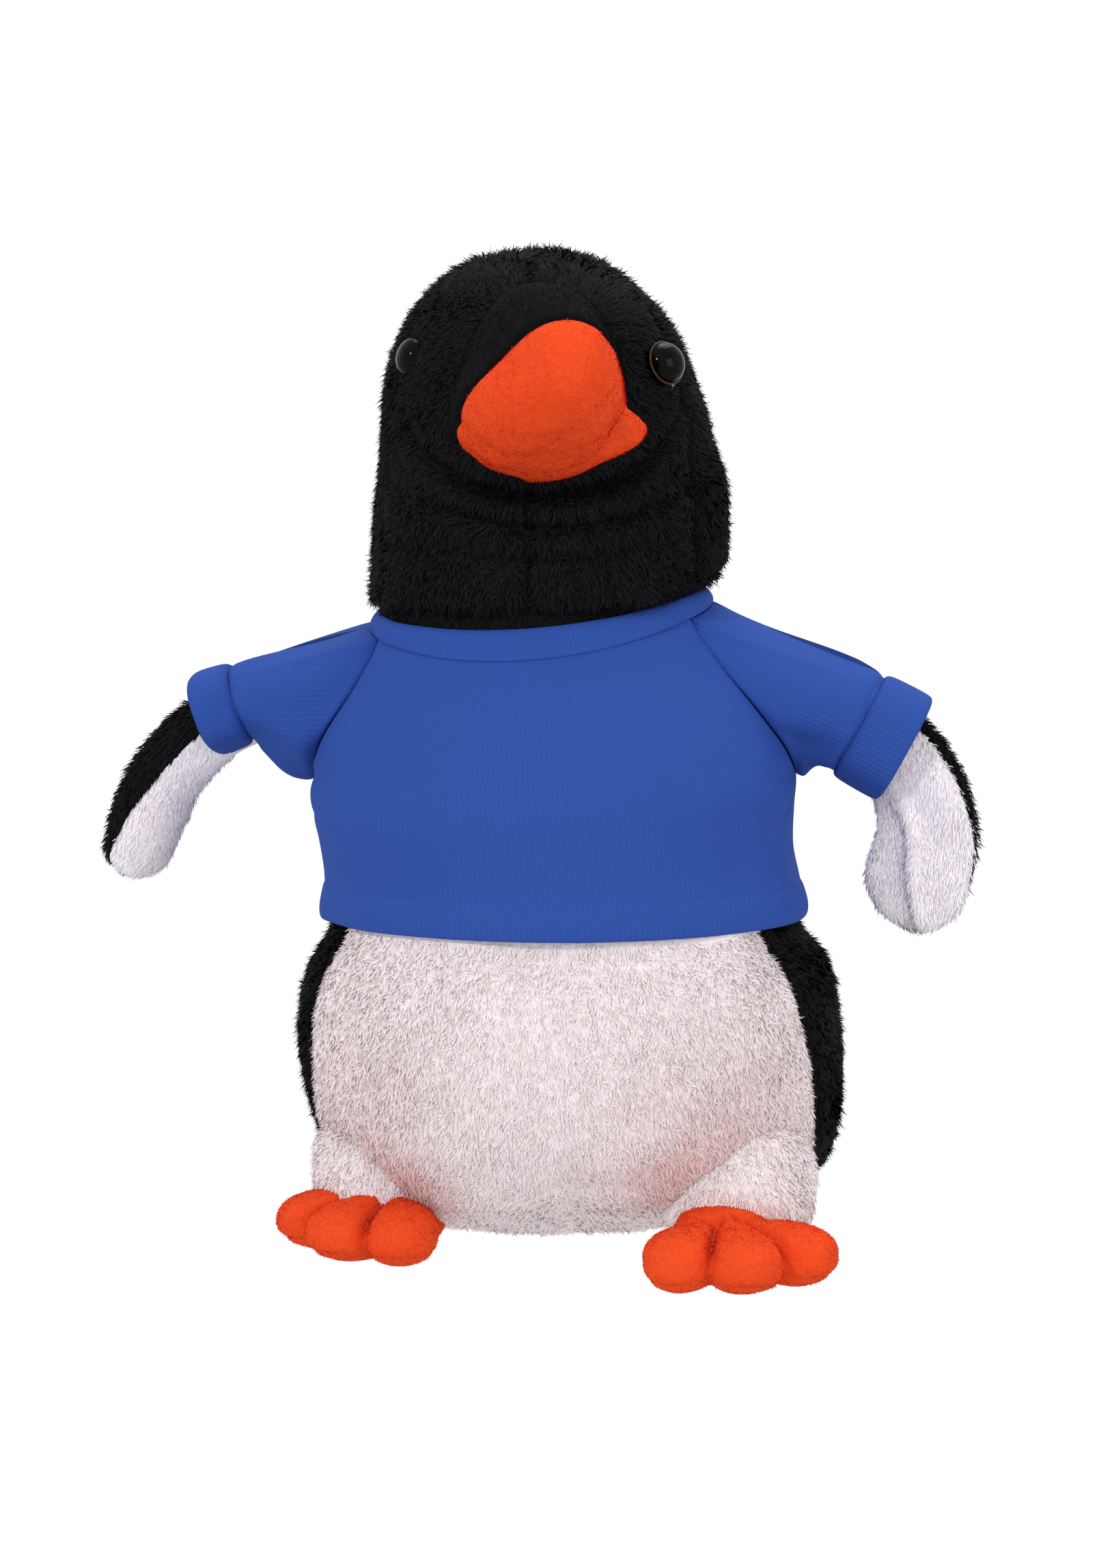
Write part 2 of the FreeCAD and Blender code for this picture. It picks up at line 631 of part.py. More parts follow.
whole = Part.makeCompound([piece.Shape for piece in NODES.values()])
print(len(NODES), "nodes", whole.BoundBox)
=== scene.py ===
"""The looks of a plush penguin in a raglan T-shirt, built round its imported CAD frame.

Lengths are in millimetres until a mesh is made. +Z is up and the penguin faces -Y, so left is -X.
"""
import json
import math
from collections import namedtuple
from contextlib import contextmanager

import bmesh
import bpy
import numpy as np
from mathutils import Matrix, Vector


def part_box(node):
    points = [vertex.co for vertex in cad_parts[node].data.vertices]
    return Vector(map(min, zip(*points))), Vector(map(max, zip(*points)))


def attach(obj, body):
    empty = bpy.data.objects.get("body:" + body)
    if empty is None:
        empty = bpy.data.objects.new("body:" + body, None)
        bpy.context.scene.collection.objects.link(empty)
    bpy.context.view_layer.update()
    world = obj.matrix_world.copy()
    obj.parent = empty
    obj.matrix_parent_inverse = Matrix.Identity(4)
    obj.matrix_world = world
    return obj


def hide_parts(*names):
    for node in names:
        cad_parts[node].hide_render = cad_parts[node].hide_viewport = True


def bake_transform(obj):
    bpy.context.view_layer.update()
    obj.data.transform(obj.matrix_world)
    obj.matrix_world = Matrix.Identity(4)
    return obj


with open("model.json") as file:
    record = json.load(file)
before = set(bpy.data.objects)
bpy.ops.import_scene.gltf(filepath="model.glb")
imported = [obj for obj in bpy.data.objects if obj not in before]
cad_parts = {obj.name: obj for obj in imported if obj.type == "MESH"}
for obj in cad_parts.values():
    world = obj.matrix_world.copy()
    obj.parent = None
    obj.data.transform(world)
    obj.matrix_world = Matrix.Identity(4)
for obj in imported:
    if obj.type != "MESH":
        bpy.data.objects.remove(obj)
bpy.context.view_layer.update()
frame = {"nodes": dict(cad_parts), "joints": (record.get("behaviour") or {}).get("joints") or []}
MM = 0.001
SIDES = {"left": -1, "right": 1}
BACK = np.array([0.0, 1.0, 0.0])
WORLD_UP = np.array([0.0, 0.0, 1.0])


# ---------- places ----------

def unit(vectors):
    vectors = np.asarray(vectors, float)
    return vectors / np.maximum(np.linalg.norm(vectors, axis=-1, keepdims=True), 1e-9)


def joint(name):
    return next(j for j in frame["joints"] if j["name"] == name)


def pivot(name):
    return np.array(joint(name)["pos_m"]) / MM


def low(node):
    return np.array(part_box(node)[0]) / MM


def high(node):
    return np.array(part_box(node)[1]) / MM


class Place:
    """A place with directions of its own; calling it turns its coordinates into the frame's."""

    def __init__(self, origin, side, back, up):
        self.origin = np.asarray(origin, float)
        self.side, self.back, self.up = unit(side), unit(back), unit(up)

    def __call__(self, x, y, z):
        x, y, z = (np.asarray(v, float)[..., None] for v in (x, y, z))
        return self.origin + x * self.side + y * self.back + z * self.up

    def local(self, points):
        return (np.asarray(points, float) - self.origin) @ np.array([self.side, self.back, self.up]).T


def upright(up):
    """A place whose height 100 is the centre that the head nods about, with its axis along up."""
    nod = pivot("head_nod")
    return Place(nod - NOD_HEIGHT * up, [up[2], 0, -up[0]], BACK, up)


NOD_HEIGHT = 100.0
HEAD_ROLL = math.radians(1.2)
TRUNK = upright(unit(joint("neck_turn")["axis"]))
HEAD = upright(np.array([math.sin(HEAD_ROLL), 0, math.cos(HEAD_ROLL)]))
SHOULDER = {side: pivot(f"wing_{side}_flap") for side in SIDES}


# ---------- curves, noise and grids ----------

def curve_through(points, count):
    """count points evenly spaced along a smooth curve through the given points."""
    points = np.asarray(points, float)
    ends = np.vstack([2 * points[0] - points[1], points, 2 * points[-1] - points[-2]])
    t = np.linspace(0, 1, 24, endpoint=False)[:, None]
    spans = []
    for a, b, c, d in zip(ends, ends[1:], ends[2:], ends[3:]):
        spans.append(b + 0.5 * t * (c - a + t * (2 * a - 5 * b + 4 * c - d + t * (3 * b - 3 * c + d - a))))
    fine = np.vstack(spans + [points[-1:]])
    along = np.concatenate([[0], np.cumsum(np.linalg.norm(np.diff(fine, axis=0), axis=1))])
    at = np.linspace(0, along[-1], count)
    return np.column_stack([np.interp(at, along, column) for column in fine.T])


def ripple(points, size, seed, waves=6):
    """Smooth noise from about -1 to 1, whose lumps are about size across."""
    rng = np.random.default_rng(seed)
    total = 0
    for wave in range(waves):
        way = unit(rng.normal(size=points.shape[-1])) * rng.uniform(0.7, 1.4) * math.pi / size
        total = total + np.sin(points @ way + rng.uniform(0, 2 * math.pi))
    return total / math.sqrt(waves)


def ripples(points, size, seed, waves=6):
    """Smooth noise in three directions."""
    return np.stack([ripple(points, size, seed + k, waves) for k in range(3)], axis=1)


def bump(distance, width):
    """1 at distance 0, falling off smoothly to both sides."""
    return np.exp(-(np.asarray(distance) / width) ** 2)


def slope(value, start, end):
    """Rises evenly from 0 at start to 1 at end."""
    return np.clip((np.asarray(value, float) - start) / (end - start), 0, 1)


def ramp(value, start, end):
    """Rises smoothly from 0 at start to 1 at end."""
    t = slope(value, start, end)
    return t * t * (3 - 2 * t)


def mix(a, b, share):
    return a + (b - a) * share


def eased(count):
    """Steps from 0 to 1 that are closer together near both ends."""
    t = np.linspace(0, 1, count)
    return mix(t, 0.5 - 0.5 * np.cos(math.pi * t), 0.6)


def stacked(*coordinates):
    """Points from their coordinates, each an array or a number."""
    return np.stack(np.broadcast_arrays(*coordinates), axis=-1)


def on_ring(angle, radius, height):
    """Points about an upright axis, where noise meets itself without a seam."""
    return stacked(radius * np.sin(angle), radius * np.cos(angle), height)


def at(setting, points):
    """A setting at the points: it is either the same everywhere or a function of them."""
    return setting(points) if callable(setting) else setting


def whole_turn(columns, first=0.0):
    """A row of angles right round, without the last one that repeats the first."""
    return np.linspace(first, first + 2 * math.pi, columns, endpoint=False)[None, :]


def grid_faces(rows, columns, closed=False, start=0):
    """Quads between a grid's points, whose numbers run along its rows from start."""
    wrap = columns if closed else columns - 1
    faces = []
    for i in range(rows - 1):
        for j in range(wrap):
            a, b = i * columns + j, i * columns + (j + 1) % columns
            faces.append((start + a, start + b, start + b + columns, start + a + columns))
    return faces


def grid_normals(grid, closed, inside):
    """Normals of a grid of points that point away from inside."""
    if closed:
        across = np.roll(grid, -1, 1) - np.roll(grid, 1, 1)
    else:
        across = np.gradient(grid, axis=1)
    normals = unit(np.cross(across, np.gradient(grid, axis=0)))
    outward = ((grid - inside) * normals).sum(-1).mean()
    return normals if outward > 0 else -normals


# ---------- pieces ----------

def new_object(name, mesh):
    piece = bpy.data.objects.new(name, mesh)
    bpy.context.scene.collection.objects.link(piece)
    return piece


def smooth_object(name, mesh, materials):
    mesh.polygons.foreach_set("use_smooth", [True] * len(mesh.polygons))
    for material in materials:
        mesh.materials.append(material)
    return new_object(name, mesh)


def mesh_points(mesh):
    """A mesh's points in millimetres."""
    points = np.empty(len(mesh.vertices) * 3)
    mesh.vertices.foreach_get("co", points)
    return points.reshape(-1, 3) / MM


@contextmanager
def edited(mesh):
    """The mesh's faces, open to bmesh operations until the block ends."""
    made = bmesh.new()
    made.from_mesh(mesh)
    yield made
    made.to_mesh(mesh)
    made.free()


def keep_half(mesh, point, normal, above):
    """Cuts a mesh along a plane and keeps the half above or below it."""
    with edited(mesh) as made:
        bmesh.ops.bisect_plane(made, geom=[*made.verts, *made.edges, *made.faces], dist=1e-7,
                               plane_co=Vector(point) * MM, plane_no=Vector(normal),
                               clear_outer=not above, clear_inner=above)


def mesh_piece(name, points, faces, material, inside=None):
    """A smooth piece; the faces of an open one are turned away from the point inside."""
    mesh = bpy.data.meshes.new(name)
    mesh.from_pydata((np.asarray(points).reshape(-1, 3) * MM).tolist(), [], faces)
    with edited(mesh) as made:
        bmesh.ops.remove_doubles(made, verts=made.verts, dist=0.00001)
        bmesh.ops.dissolve_degenerate(made, edges=made.edges, dist=0.000001)
        bmesh.ops.recalc_face_normals(made, faces=made.faces)
        if inside is not None:
            middle = Vector(np.asarray(inside) * MM)
            if sum((f.calc_center_median() - middle).dot(f.normal) * f.calc_area() for f in made.faces) < 0:
                bmesh.ops.reverse_faces(made, faces=made.faces)
    return smooth_object(name, mesh, [material])


def finish_piece(piece, body, replaced=()):
    """Hangs a piece on the body it rides on and hides the CAD nodes it stands for."""
    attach(piece, body)
    if replaced:
        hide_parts(*replaced)


def shell_faces(rows, columns, closed):
    """Faces of a closed shell whose outer grid is followed by its inner grid."""
    count = rows * columns
    outer = grid_faces(rows, columns, closed)
    inner = [face[::-1] for face in grid_faces(rows, columns, closed, start=count)]
    rims = []
    wrap = columns if closed else columns - 1
    for j in range(wrap):
        k = (j + 1) % columns
        last = (rows - 1) * columns
        rims.append((j, j + count, k + count, k))
        rims.append((last + k, last + k + count, last + j + count, last + j))
    if not closed:
        for i in range(rows - 1):
            a, b = i * columns, (i + 1) * columns
            rims.append((b, b + count, a + count, a))
            a, b = a + columns - 1, b + columns - 1
            rims.append((a, a + count, b + count, b))
    return outer + inner + rims


def cloth_shell(name, grid, knit, material, thick, closed, inside):
    """A sheet of cloth with a thickness, and the knit's coordinates at every point of it."""
    normals = grid_normals(grid, closed, inside)
    inner = grid - normals * thick
    rows, columns = grid.shape[:2]
    points = np.concatenate([grid.reshape(-1, 3), inner.reshape(-1, 3)])
    mesh = bpy.data.meshes.new(name)
    mesh.from_pydata((points * MM).tolist(), [], shell_faces(rows, columns, closed))
    held = mesh.attributes.new("knit", "FLOAT_VECTOR", "POINT")
    both = np.tile(knit.reshape(-1, knit.shape[-1]), (2, 1))
    both = np.column_stack([both, np.zeros(len(both))]).astype(np.float32)
    held.data.foreach_set("vector", both.ravel())
    with edited(mesh) as made:
        bmesh.ops.recalc_face_normals(made, faces=made.faces)
    return smooth_object(name, mesh, [material])


# ---------- materials ----------

def colour(red, green, blue):
    """A linear colour from the 8-bit one that a screen shows."""
    shown = np.array([red, green, blue]) / 255
    linear = np.where(shown <= 0.04045, shown / 12.92, ((shown + 0.055) / 1.055) ** 2.4)
    return (*linear.tolist(), 1.0)


def scaled(tone, factor):
    return (*(min(c * factor, 1.0) for c in tone[:3]), 1.0)


class Recipe:
    """A material's nodes, with short ways to add and join them."""

    def __init__(self, name, base, roughness, **sockets):
        self.material = bpy.data.materials.new(name)
        self.material.use_nodes = True
        self.nodes = self.material.node_tree.nodes
        self.shader = self.nodes["Principled BSDF"]
        self.shader.inputs["Base Color"].default_value = base
        self.shader.inputs["Roughness"].default_value = roughness
        for socket, number in sockets.items():
            self.shader.inputs[socket.replace("_", " ")].default_value = number

    def add(self, kind, **settings):
        node = self.nodes.new("ShaderNode" + kind)
        for setting, content in settings.items():
            setattr(node, setting, content)
        return node

    def feed(self, content, socket):
        """Joins an output to a socket, or sets the socket to a number or colour."""
        if hasattr(content, "links"):
            self.material.node_tree.links.new(content, socket)
        else:
            socket.default_value = content

    def paint(self, output):
        self.feed(output, self.shader.inputs["Base Color"])

    def noise(self, scale, detail=3.0, roughness=0.6):
        node = self.add("TexNoise")
        self.feed(self.add("TexCoord").outputs["Object"], node.inputs["Vector"])
        for socket, number in (("Scale", scale), ("Detail", detail), ("Roughness", roughness)):
            self.feed(number, node.inputs[socket])
        return node.outputs["Fac"]

    def tone(self, fac, first, second, low=0.3, high=0.7):
        """Goes from the first colour at low to the second at high."""
        node = self.add("ValToRGB")
        for element, place, shade in zip(node.color_ramp.elements, (low, high), (first, second)):
            element.position = place
            element.color = shade
        self.feed(fac, node.inputs["Fac"])
        return node.outputs["Color"]

    def blend(self, fac, first, second):
        node = self.add("Mix", data_type="RGBA")
        self.feed(fac, node.inputs["Factor"])
        colours = [socket for socket in node.inputs if socket.type == "RGBA"]
        for socket, content in zip(colours, (first, second)):
            self.feed(content, socket)
        return next(socket for socket in node.outputs if socket.type == "RGBA")

    def maths(self, operation, *terms):
        node = self.add("Math", operation=operation)
        for socket, term in zip(node.inputs, terms):
            self.feed(term, socket)
        return node.outputs[0]

    def raise_by(self, height, distance):
        """Bump of the given depth in metres, on top of any bump so far."""
        node = self.add("Bump")
        self.feed(1.0, node.inputs["Strength"])
        self.feed(distance, node.inputs["Distance"])
        self.feed(height, node.inputs["Height"])
        normal = self.shader.inputs["Normal"]
        if normal.is_linked:
            self.feed(normal.links[0].from_socket, node.inputs["Normal"])
        self.feed(node.outputs["Normal"], normal)


BLACK_PILE = colour(15, 14, 18)
WHITE_PILE = colour(240, 230, 232)
ORANGE_FELT = colour(253, 82, 36)
DARK_FELT = colour(11, 11, 14)
SHIRT_BLUE = colour(44, 75, 153)
THREAD_ORANGE = colour(205, 62, 30)


def plush_backing(name, tone, fleck_shade=0.6):
    """The knitted ground that pile stands on, painted darker in flecks where its fine relief is low: painted
    shade that shows between the tufts.
    """
    recipe = Recipe(name, tone, 0.9, Specular_IOR_Level=0.1)
    flecks = recipe.noise(900, detail=4)
    # Painted shade: the ground is darker where the flecks' relief is low.
    shaded_fleck = recipe.tone(flecks, scaled(tone, fleck_shade), scaled(tone, 1.05))
    recipe.paint(recipe.blend(recipe.noise(160, detail=2), shaded_fleck, tone))
    recipe.raise_by(flecks, 0.0004)
    return recipe.material


def felt(name, tone, lighter):
    """Brushed fleece: matted fibres, small pills and a paler bloom where it is rubbed."""
    recipe = Recipe(name, tone, 0.95, Specular_IOR_Level=0.05)
    fibres = recipe.noise(2600, detail=5, roughness=0.75)
    mats = recipe.noise(420, detail=4)
    fibre = recipe.tone(fibres, scaled(tone, 0.72), lighter)
    matted = recipe.tone(mats, scaled(tone, 0.82), scaled(tone, 1.12))
    both = recipe.blend(0.45, fibre, matted)
    recipe.paint(recipe.blend(recipe.noise(60, detail=2), both, tone))
    recipe.raise_by(mats, 0.0012)
    recipe.raise_by(fibres, 0.0003)
    return recipe.material


def knitted(name, tone, wale, course, depth):
    """Jersey: columns of stitches a wale apart, rows a course apart, in millimetres."""
    recipe = Recipe(name, tone, 0.9, Specular_IOR_Level=0.1)
    held = recipe.add("Attribute", attribute_name="knit")
    parts = recipe.add("SeparateXYZ")
    recipe.feed(held.outputs["Vector"], parts.inputs["Vector"])
    drift = recipe.maths("MULTIPLY", recipe.noise(90, detail=2), 0.9)
    across = recipe.maths("ADD", parts.outputs["X"], drift)
    column = recipe.maths("SINE", recipe.maths("MULTIPLY", across, 2 * math.pi / wale))
    slant = recipe.maths("MULTIPLY", recipe.maths("ABSOLUTE", column), 0.35 * course)
    along = recipe.maths("ADD", parts.outputs["Y"], slant)
    row = recipe.maths("SINE", recipe.maths("MULTIPLY", along, 2 * math.pi / course))
    stitch = recipe.maths("ADD", column, recipe.maths("MULTIPLY", row, 0.45))
    # The stitches' raised tops are painted lighter and the grooves between them darker: painted light and
    # shade that follow the stitch relief.
    lit = recipe.maths("MULTIPLY_ADD", stitch, 0.3, 0.5)
    shade = recipe.tone(lit, scaled(tone, 0.93), scaled(tone, 1.05), low=0.0, high=1.0)
    wear = recipe.maths("MULTIPLY", recipe.noise(45), 0.35)
    recipe.paint(recipe.blend(wear, shade, scaled(tone, 1.1)))
    recipe.raise_by(stitch, depth)
    recipe.raise_by(recipe.noise(3000), 0.0001)
    return recipe.material


def speckled(name, tone, dark, light, roughness, scale, depth, detail=4, mottle=0.6, **sockets):
    """A surface whose colour and fine relief both follow one noise."""
    recipe = Recipe(name, tone, roughness, **sockets)
    specks = recipe.noise(scale, detail, mottle)
    recipe.paint(recipe.tone(specks, dark, light))
    recipe.raise_by(specks, depth)
    return recipe.material


def glossy(name, tone, roughness, worn):
    """Moulded plastic with faint marks in its gloss."""
    return speckled(name, tone, tone, scaled(tone, worn), roughness, 1200, 0.00001,
                    Specular_IOR_Level=0.08)


def pile_tones(name, tone, factors, **sockets):
    """The plain tones that neighbouring tufts are dyed."""
    return [Recipe(f"{name}_{n}", scaled(tone, factor), 0.75, **sockets).material
            for n, factor in enumerate(factors, start=1)]


BLACK_BACKING = plush_backing("black_backing", colour(12, 11, 13))
WHITE_BACKING = plush_backing("white_backing", colour(240, 230, 232), 0.9)
ORANGE_FLEECE = felt("orange_fleece", ORANGE_FELT, colour(248, 100, 56))
BLACK_FLEECE = felt("black_fleece", DARK_FELT, colour(34, 33, 40))
BLUE_KNIT = knitted("blue_knit", SHIRT_BLUE, wale=1.1, course=0.9, depth=0.00003)
BLUE_RIB = knitted("blue_rib", SHIRT_BLUE, wale=1.0, course=0.8, depth=0.00004)
STUFFING = speckled("stuffing", colour(225, 224, 220), colour(190, 188, 184), colour(240, 240, 238), 0.95,
                    700, 0.001, detail=6, mottle=0.8, Sheen_Weight=0.3)
POUCH_CLOTH = plush_backing("pouch_cloth", colour(226, 222, 210))
PELLET_PLASTIC = glossy("pellet_plastic", colour(232, 232, 226), 0.35, 0.8)
WASHER_PLASTIC = glossy("washer_plastic", colour(214, 214, 208), 0.4, 0.85)
EYE_PLASTIC = glossy("eye_plastic", colour(6, 5, 6), 0.06, 1.4)
EYE_RIM = glossy("eye_rim", colour(88, 56, 40), 0.12, 0.7)
ORANGE_THREAD = speckled("orange_thread", THREAD_ORANGE, scaled(THREAD_ORANGE, 0.7), THREAD_ORANGE, 0.6,
                         4000, 0.0001, detail=2)
BLACK_TUFTS = pile_tones("black_tuft", BLACK_PILE, (0.7, 1.0, 1.6), Specular_IOR_Level=0.12)
WHITE_TUFTS = pile_tones("white_tuft", WHITE_PILE, (0.97, 1.0, 1.04), Specular_IOR_Level=0.1)
COOL_TUFTS = pile_tones("cool_tuft", colour(250, 246, 254), (0.96, 1.0, 1.0), Specular_IOR_Level=0.1)
WARM_TUFTS = pile_tones("warm_tuft", colour(233, 212, 211), (0.97, 1.02), Specular_IOR_Level=0.1)
ORANGE_FUZZ = pile_tones("orange_fuzz", ORANGE_FELT, (0.95, 1.1, 1.25), Specular_IOR_Level=0.1)
BLACK_FUZZ = pile_tones("black_fuzz", DARK_FELT, (0.8, 1.2, 2.4), Specular_IOR_Level=0.05)


# ---------- pile ----------

# How tufts grow: sizes in millimetres, tufts per square centimetre, and angles from upright in degrees.
Pile = namedtuple("Pile", "tones length width density lean curl clump relief", defaults=(0.5, 0.35))
BLACK_PLUSH = Pile(BLACK_TUFTS, 2.6, 0.34, 560, 50, 22)
WHITE_PLUSH = Pile(WHITE_TUFTS + WARM_TUFTS, 2.0, 0.34, 800, 64, 12, clump=0.14, relief=0.07)
WING_PLUSH = Pile(COOL_TUFTS + WHITE_TUFTS, 2.2, 0.34, 760, 62, 12, clump=0.2, relief=0.08)
FLEECE_ORANGE = Pile(ORANGE_FUZZ, 0.95, 0.12, 1100, 45, 40, clump=0.3)
FLEECE_BLACK = Pile(BLACK_FUZZ, 0.9, 0.11, 900, 45, 40, clump=0.3)

# What a plush panel is made of: its backing, its pile and its slot.
BLACK_COAT = (BLACK_BACKING, BLACK_PLUSH, "black_plush")
WHITE_COAT = (WHITE_BACKING, WHITE_PLUSH, "white_plush")
WING_COAT = (WHITE_BACKING, WING_PLUSH, "white_plush")


def surface(mesh):
    """A mesh's points in millimetres, their normals, and its triangles."""
    mesh.calc_loop_triangles()
    normals = np.empty(len(mesh.vertices) * 3)
    mesh.vertex_normals.foreach_get("vector", normals)
    triangles = np.empty(len(mesh.loop_triangles) * 3, int)
    mesh.loop_triangles.foreach_get("vertices", triangles)
    return mesh_points(mesh), normals.reshape(-1, 3), triangles.reshape(-1, 3)


def scatter(piece, density, rng):
    """Random places on a piece, evenly spread over its area, and their normals."""
    points, normals, triangles = surface(piece.data)
    a, b, c = (points[triangles[:, k]] for k in range(3))
    area = np.linalg.norm(np.cross(b - a, c - a), axis=1) / 2
    count = int(area.sum() * density / 100)
    pick = rng.choice(len(area), count, p=area / area.sum())
    u, v = rng.random((2, count))
    over = u + v > 1
    u, v = np.where(over, 1 - u, u)[:, None], np.where(over, 1 - v, v)[:, None]
    spots = a[pick] + u * (b - a)[pick] + v * (c - a)[pick]
    na, nb, nc = (normals[triangles[pick, k]] for k in range(3))
    return spots, unit(na * (1 - u - v) + nb * u + nc * v)


def tufts(name, piece, pile, flow, body, slot, keep=None, seed=1, size=1, tint=None):
    """Pile on a piece: tapered blades that lean along flow, and grow where keep(points) is true.

    Size scales their length, and tint from 0 to 1 says how likely a tuft takes one of the last two
    tones. Flow, size and tint are each the same everywhere or a function of the points.
    """
    rng = np.random.default_rng(seed)
    spots, normals = scatter(piece, pile.density * (1), rng)
    if keep is not None:
        grown = keep(spots)
        spots, normals = spots[grown], normals[grown]
    count = len(spots)
    combed = at(flow, spots) + pile.clump * ripples(spots, 9, seed)
    combed = combed + 0.45 * rng.normal(size=(count, 3))
    combed = unit(combed - (combed * normals).sum(1, keepdims=True) * normals)
    uneven = 16 * pile.clump * ripple(spots, 14, seed + 5)[:, None]
    lean = np.radians(pile.lean + 12 * rng.normal(size=(count, 1)) + uneven)
    length = pile.length * rng.uniform(0.7, 1.15, (count, 1)) * np.reshape(at(size, spots), (-1, 1))
    first = np.cos(lean) * normals + np.sin(lean) * combed
    bent = lean + np.radians(pile.curl)
    second = np.cos(bent) * normals + np.sin(bent) * combed
    clumped = ripples(spots, 1.6, seed + 11, waves=8)
    root = spots - 0.3 * normals
    middle = root + 0.55 * length * first
    tip = middle + 0.45 * length * second + pile.clump * np.minimum(length / 3, 1) * clumped
    roll = rng.uniform(-0.9, 0.9, (count, 1))
    across = unit(np.cross(first, combed))
    lift = unit(np.cross(across, first))
    across = np.cos(roll) * across + np.sin(roll) * lift
    facing = np.cross(across, first)
    across = across * np.where((facing * normals).sum(1, keepdims=True) < 0, -1, 1)
    half = 0.5 * pile.width * rng.uniform(0.7, 1.2, (count, 1))
    corners = np.stack([root - half * across, root + half * across, middle + 0.85 * half * across,
                        middle - 0.85 * half * across, tip], axis=1)
    shading = unit(normals + pile.relief * (unit(np.cross(across, first)) + 0.7 * first))
    choice = rng.integers(0, 3, count)
    if tint is not None:
        choice = np.where(rng.random(count) < at(tint, spots), 3 + rng.integers(0, 2, count), choice)
    piece_of_pile = blades(name, corners, shading, choice, pile.tones)
    finish_piece(piece_of_pile, body)


def blades(name, corners, shading, choice, tones):
    """A mesh of five-cornered blades, each a quad and a triangle, shaded with the given normals."""
    count = len(corners)
    mesh = bpy.data.meshes.new(name)
    mesh.vertices.add(count * 5)
    mesh.vertices.foreach_set("co", (corners * MM).astype(np.float32).ravel())
    loops = (np.arange(count)[:, None] * 5 + np.array([0, 1, 2, 3, 3, 2, 4])).ravel()
    mesh.loops.add(len(loops))
    mesh.loops.foreach_set("vertex_index", loops.astype(np.int32))
    mesh.polygons.add(count * 2)
    starts = (np.arange(count)[:, None] * 7 + np.array([0, 4])).ravel()
    mesh.polygons.foreach_set("loop_start", starts.astype(np.int32))
    mesh.polygons.foreach_set("material_index", np.repeat(choice, 2).astype(np.int32))
    mesh.update(calc_edges=True)
    piece = smooth_object(name, mesh, tones)
    mesh.normals_split_custom_set_from_vertices(np.repeat(shading, 5, axis=0).tolist())
    return piece


def plush_panel(name, grid, coat, body, inside, flow, node=None, fill=0.8, **growth):
    """A skin that stands for a CAD node, and the pile on it."""
    backing, pile, slot = coat
    skin = mesh_piece(f"{name}_skin", grid, grid_faces(*grid.shape[:2]), backing, inside)
    finish_piece(skin, body, [node or name])
    tufts(f"{name}_pile", skin, pile, flow, body, slot, **growth)


def filling(name, points, faces, body, node, inside=None):
    """The fibrefill under the skins."""
    core = mesh_piece(name, points, faces, STUFFING, inside)
    finish_piece(core, body, [node])


# ---------- forms turned about an axis ----------

def turned(place, profile, angles, relief, shift=None):
    """A grid whose rows are the profile's points (radius, height) and whose columns are angles from
    the front, pushed out by relief(angle, height, radius) and moved by shift(angle, height), which
    gives distances sideways and up."""
    tangent = np.gradient(profile, axis=0)
    outward = unit(np.column_stack([tangent[:, 1], -tangent[:, 0]]))
    radius, height = profile[:, :1], profile[:, 1:]
    push = relief(angles, height, radius)
    radius = np.maximum(radius + outward[:, :1] * push, 0)
    height = height + outward[:, 1:] * push
    sideways, lift = (0, 0) if shift is None else shift(angles, height)
    return place(radius * np.sin(angles) + sideways, -radius * np.cos(angles), height + lift)


def panel_angles(start, end, columns):
    """Columns of angles between two edges, each a number or one number a row."""
    start, end = (np.atleast_1d(v)[:, None] for v in (start, end))
    return start + (end - start) * eased(columns)[None, :]


def plain(angle, height, radius):
    """No relief."""
    return np.zeros(np.broadcast_shapes(np.shape(angle), np.shape(height)))


def tucked(relief, depth=1.5, width=1.4):
    """The same relief with both edges of the panel turned in to the seam."""
    def with_seams(angle, height, radius):
        gap = np.minimum(angle - angle[:, :1], angle[:, -1:] - angle) * radius
        return relief(angle, height, radius) - np.minimum(depth, 0.35 * radius) * bump(gap, width)
    return with_seams


# ---------- head ----------

CROWN_HEIGHT = 165.5
HEAD_PROFILE = curve_through([(33.6, 128.7), (34.8, 128.4), (35.2, 131), (35.0, 138), (34.8, 146),
                              (33.9, 154), (32.7, 162), (30.8, 170.6), (27.7, 179), (22.4, 187),
                              (13.0, 194.4), (0, 197.6)], 130)
SIDE_SEAM = math.radians(63)
CHIN_FOLDS = [(149.5, 12, 2.6, 1.5), (143.8, 6, 1.6, 1.4), (137.2, 3, 0.9, 1.8)]


def head_relief(angle, height, radius):
    """The chin's folds, the crease and bulge behind the right cheek, and uneven stuffing."""
    spots = on_ring(angle, radius, height)
    push = 0.55 * ripple(spots, 26, 3) + 0.3 * ripple(spots, 11, 4)
    steps = angle / math.radians(50)
    front = bump(steps, 1.2)
    for line, climb, depth, width in CHIN_FOLDS:
        middle = line + climb * steps ** 2 + 0.7 * ripple(spots, 16, 7)
        push = push - depth * front * bump(height - middle, width)
        push = push + 0.45 * depth * front * bump(height - middle + 2.4 * width, 1.6 * width)
    cheek = ramp(height, 124, 132) * (1 - ramp(height, 150, 162))
    push = push - 1.6 * cheek * bump(angle - SIDE_SEAM, 0.05)
    push = push + 2.2 * cheek * bump(angle - math.radians(84), 0.32)
    push = push - 3.6 * (1 - ramp(height, 128, 137)) * bump(angle - math.radians(84), 0.5)
    push = push + 3.0 * bump(angle - math.radians(46), 0.42) * bump(height - 176, 13)
    return push - 0.8 * ramp(height, 186, 196) * bump(angle, 0.25)


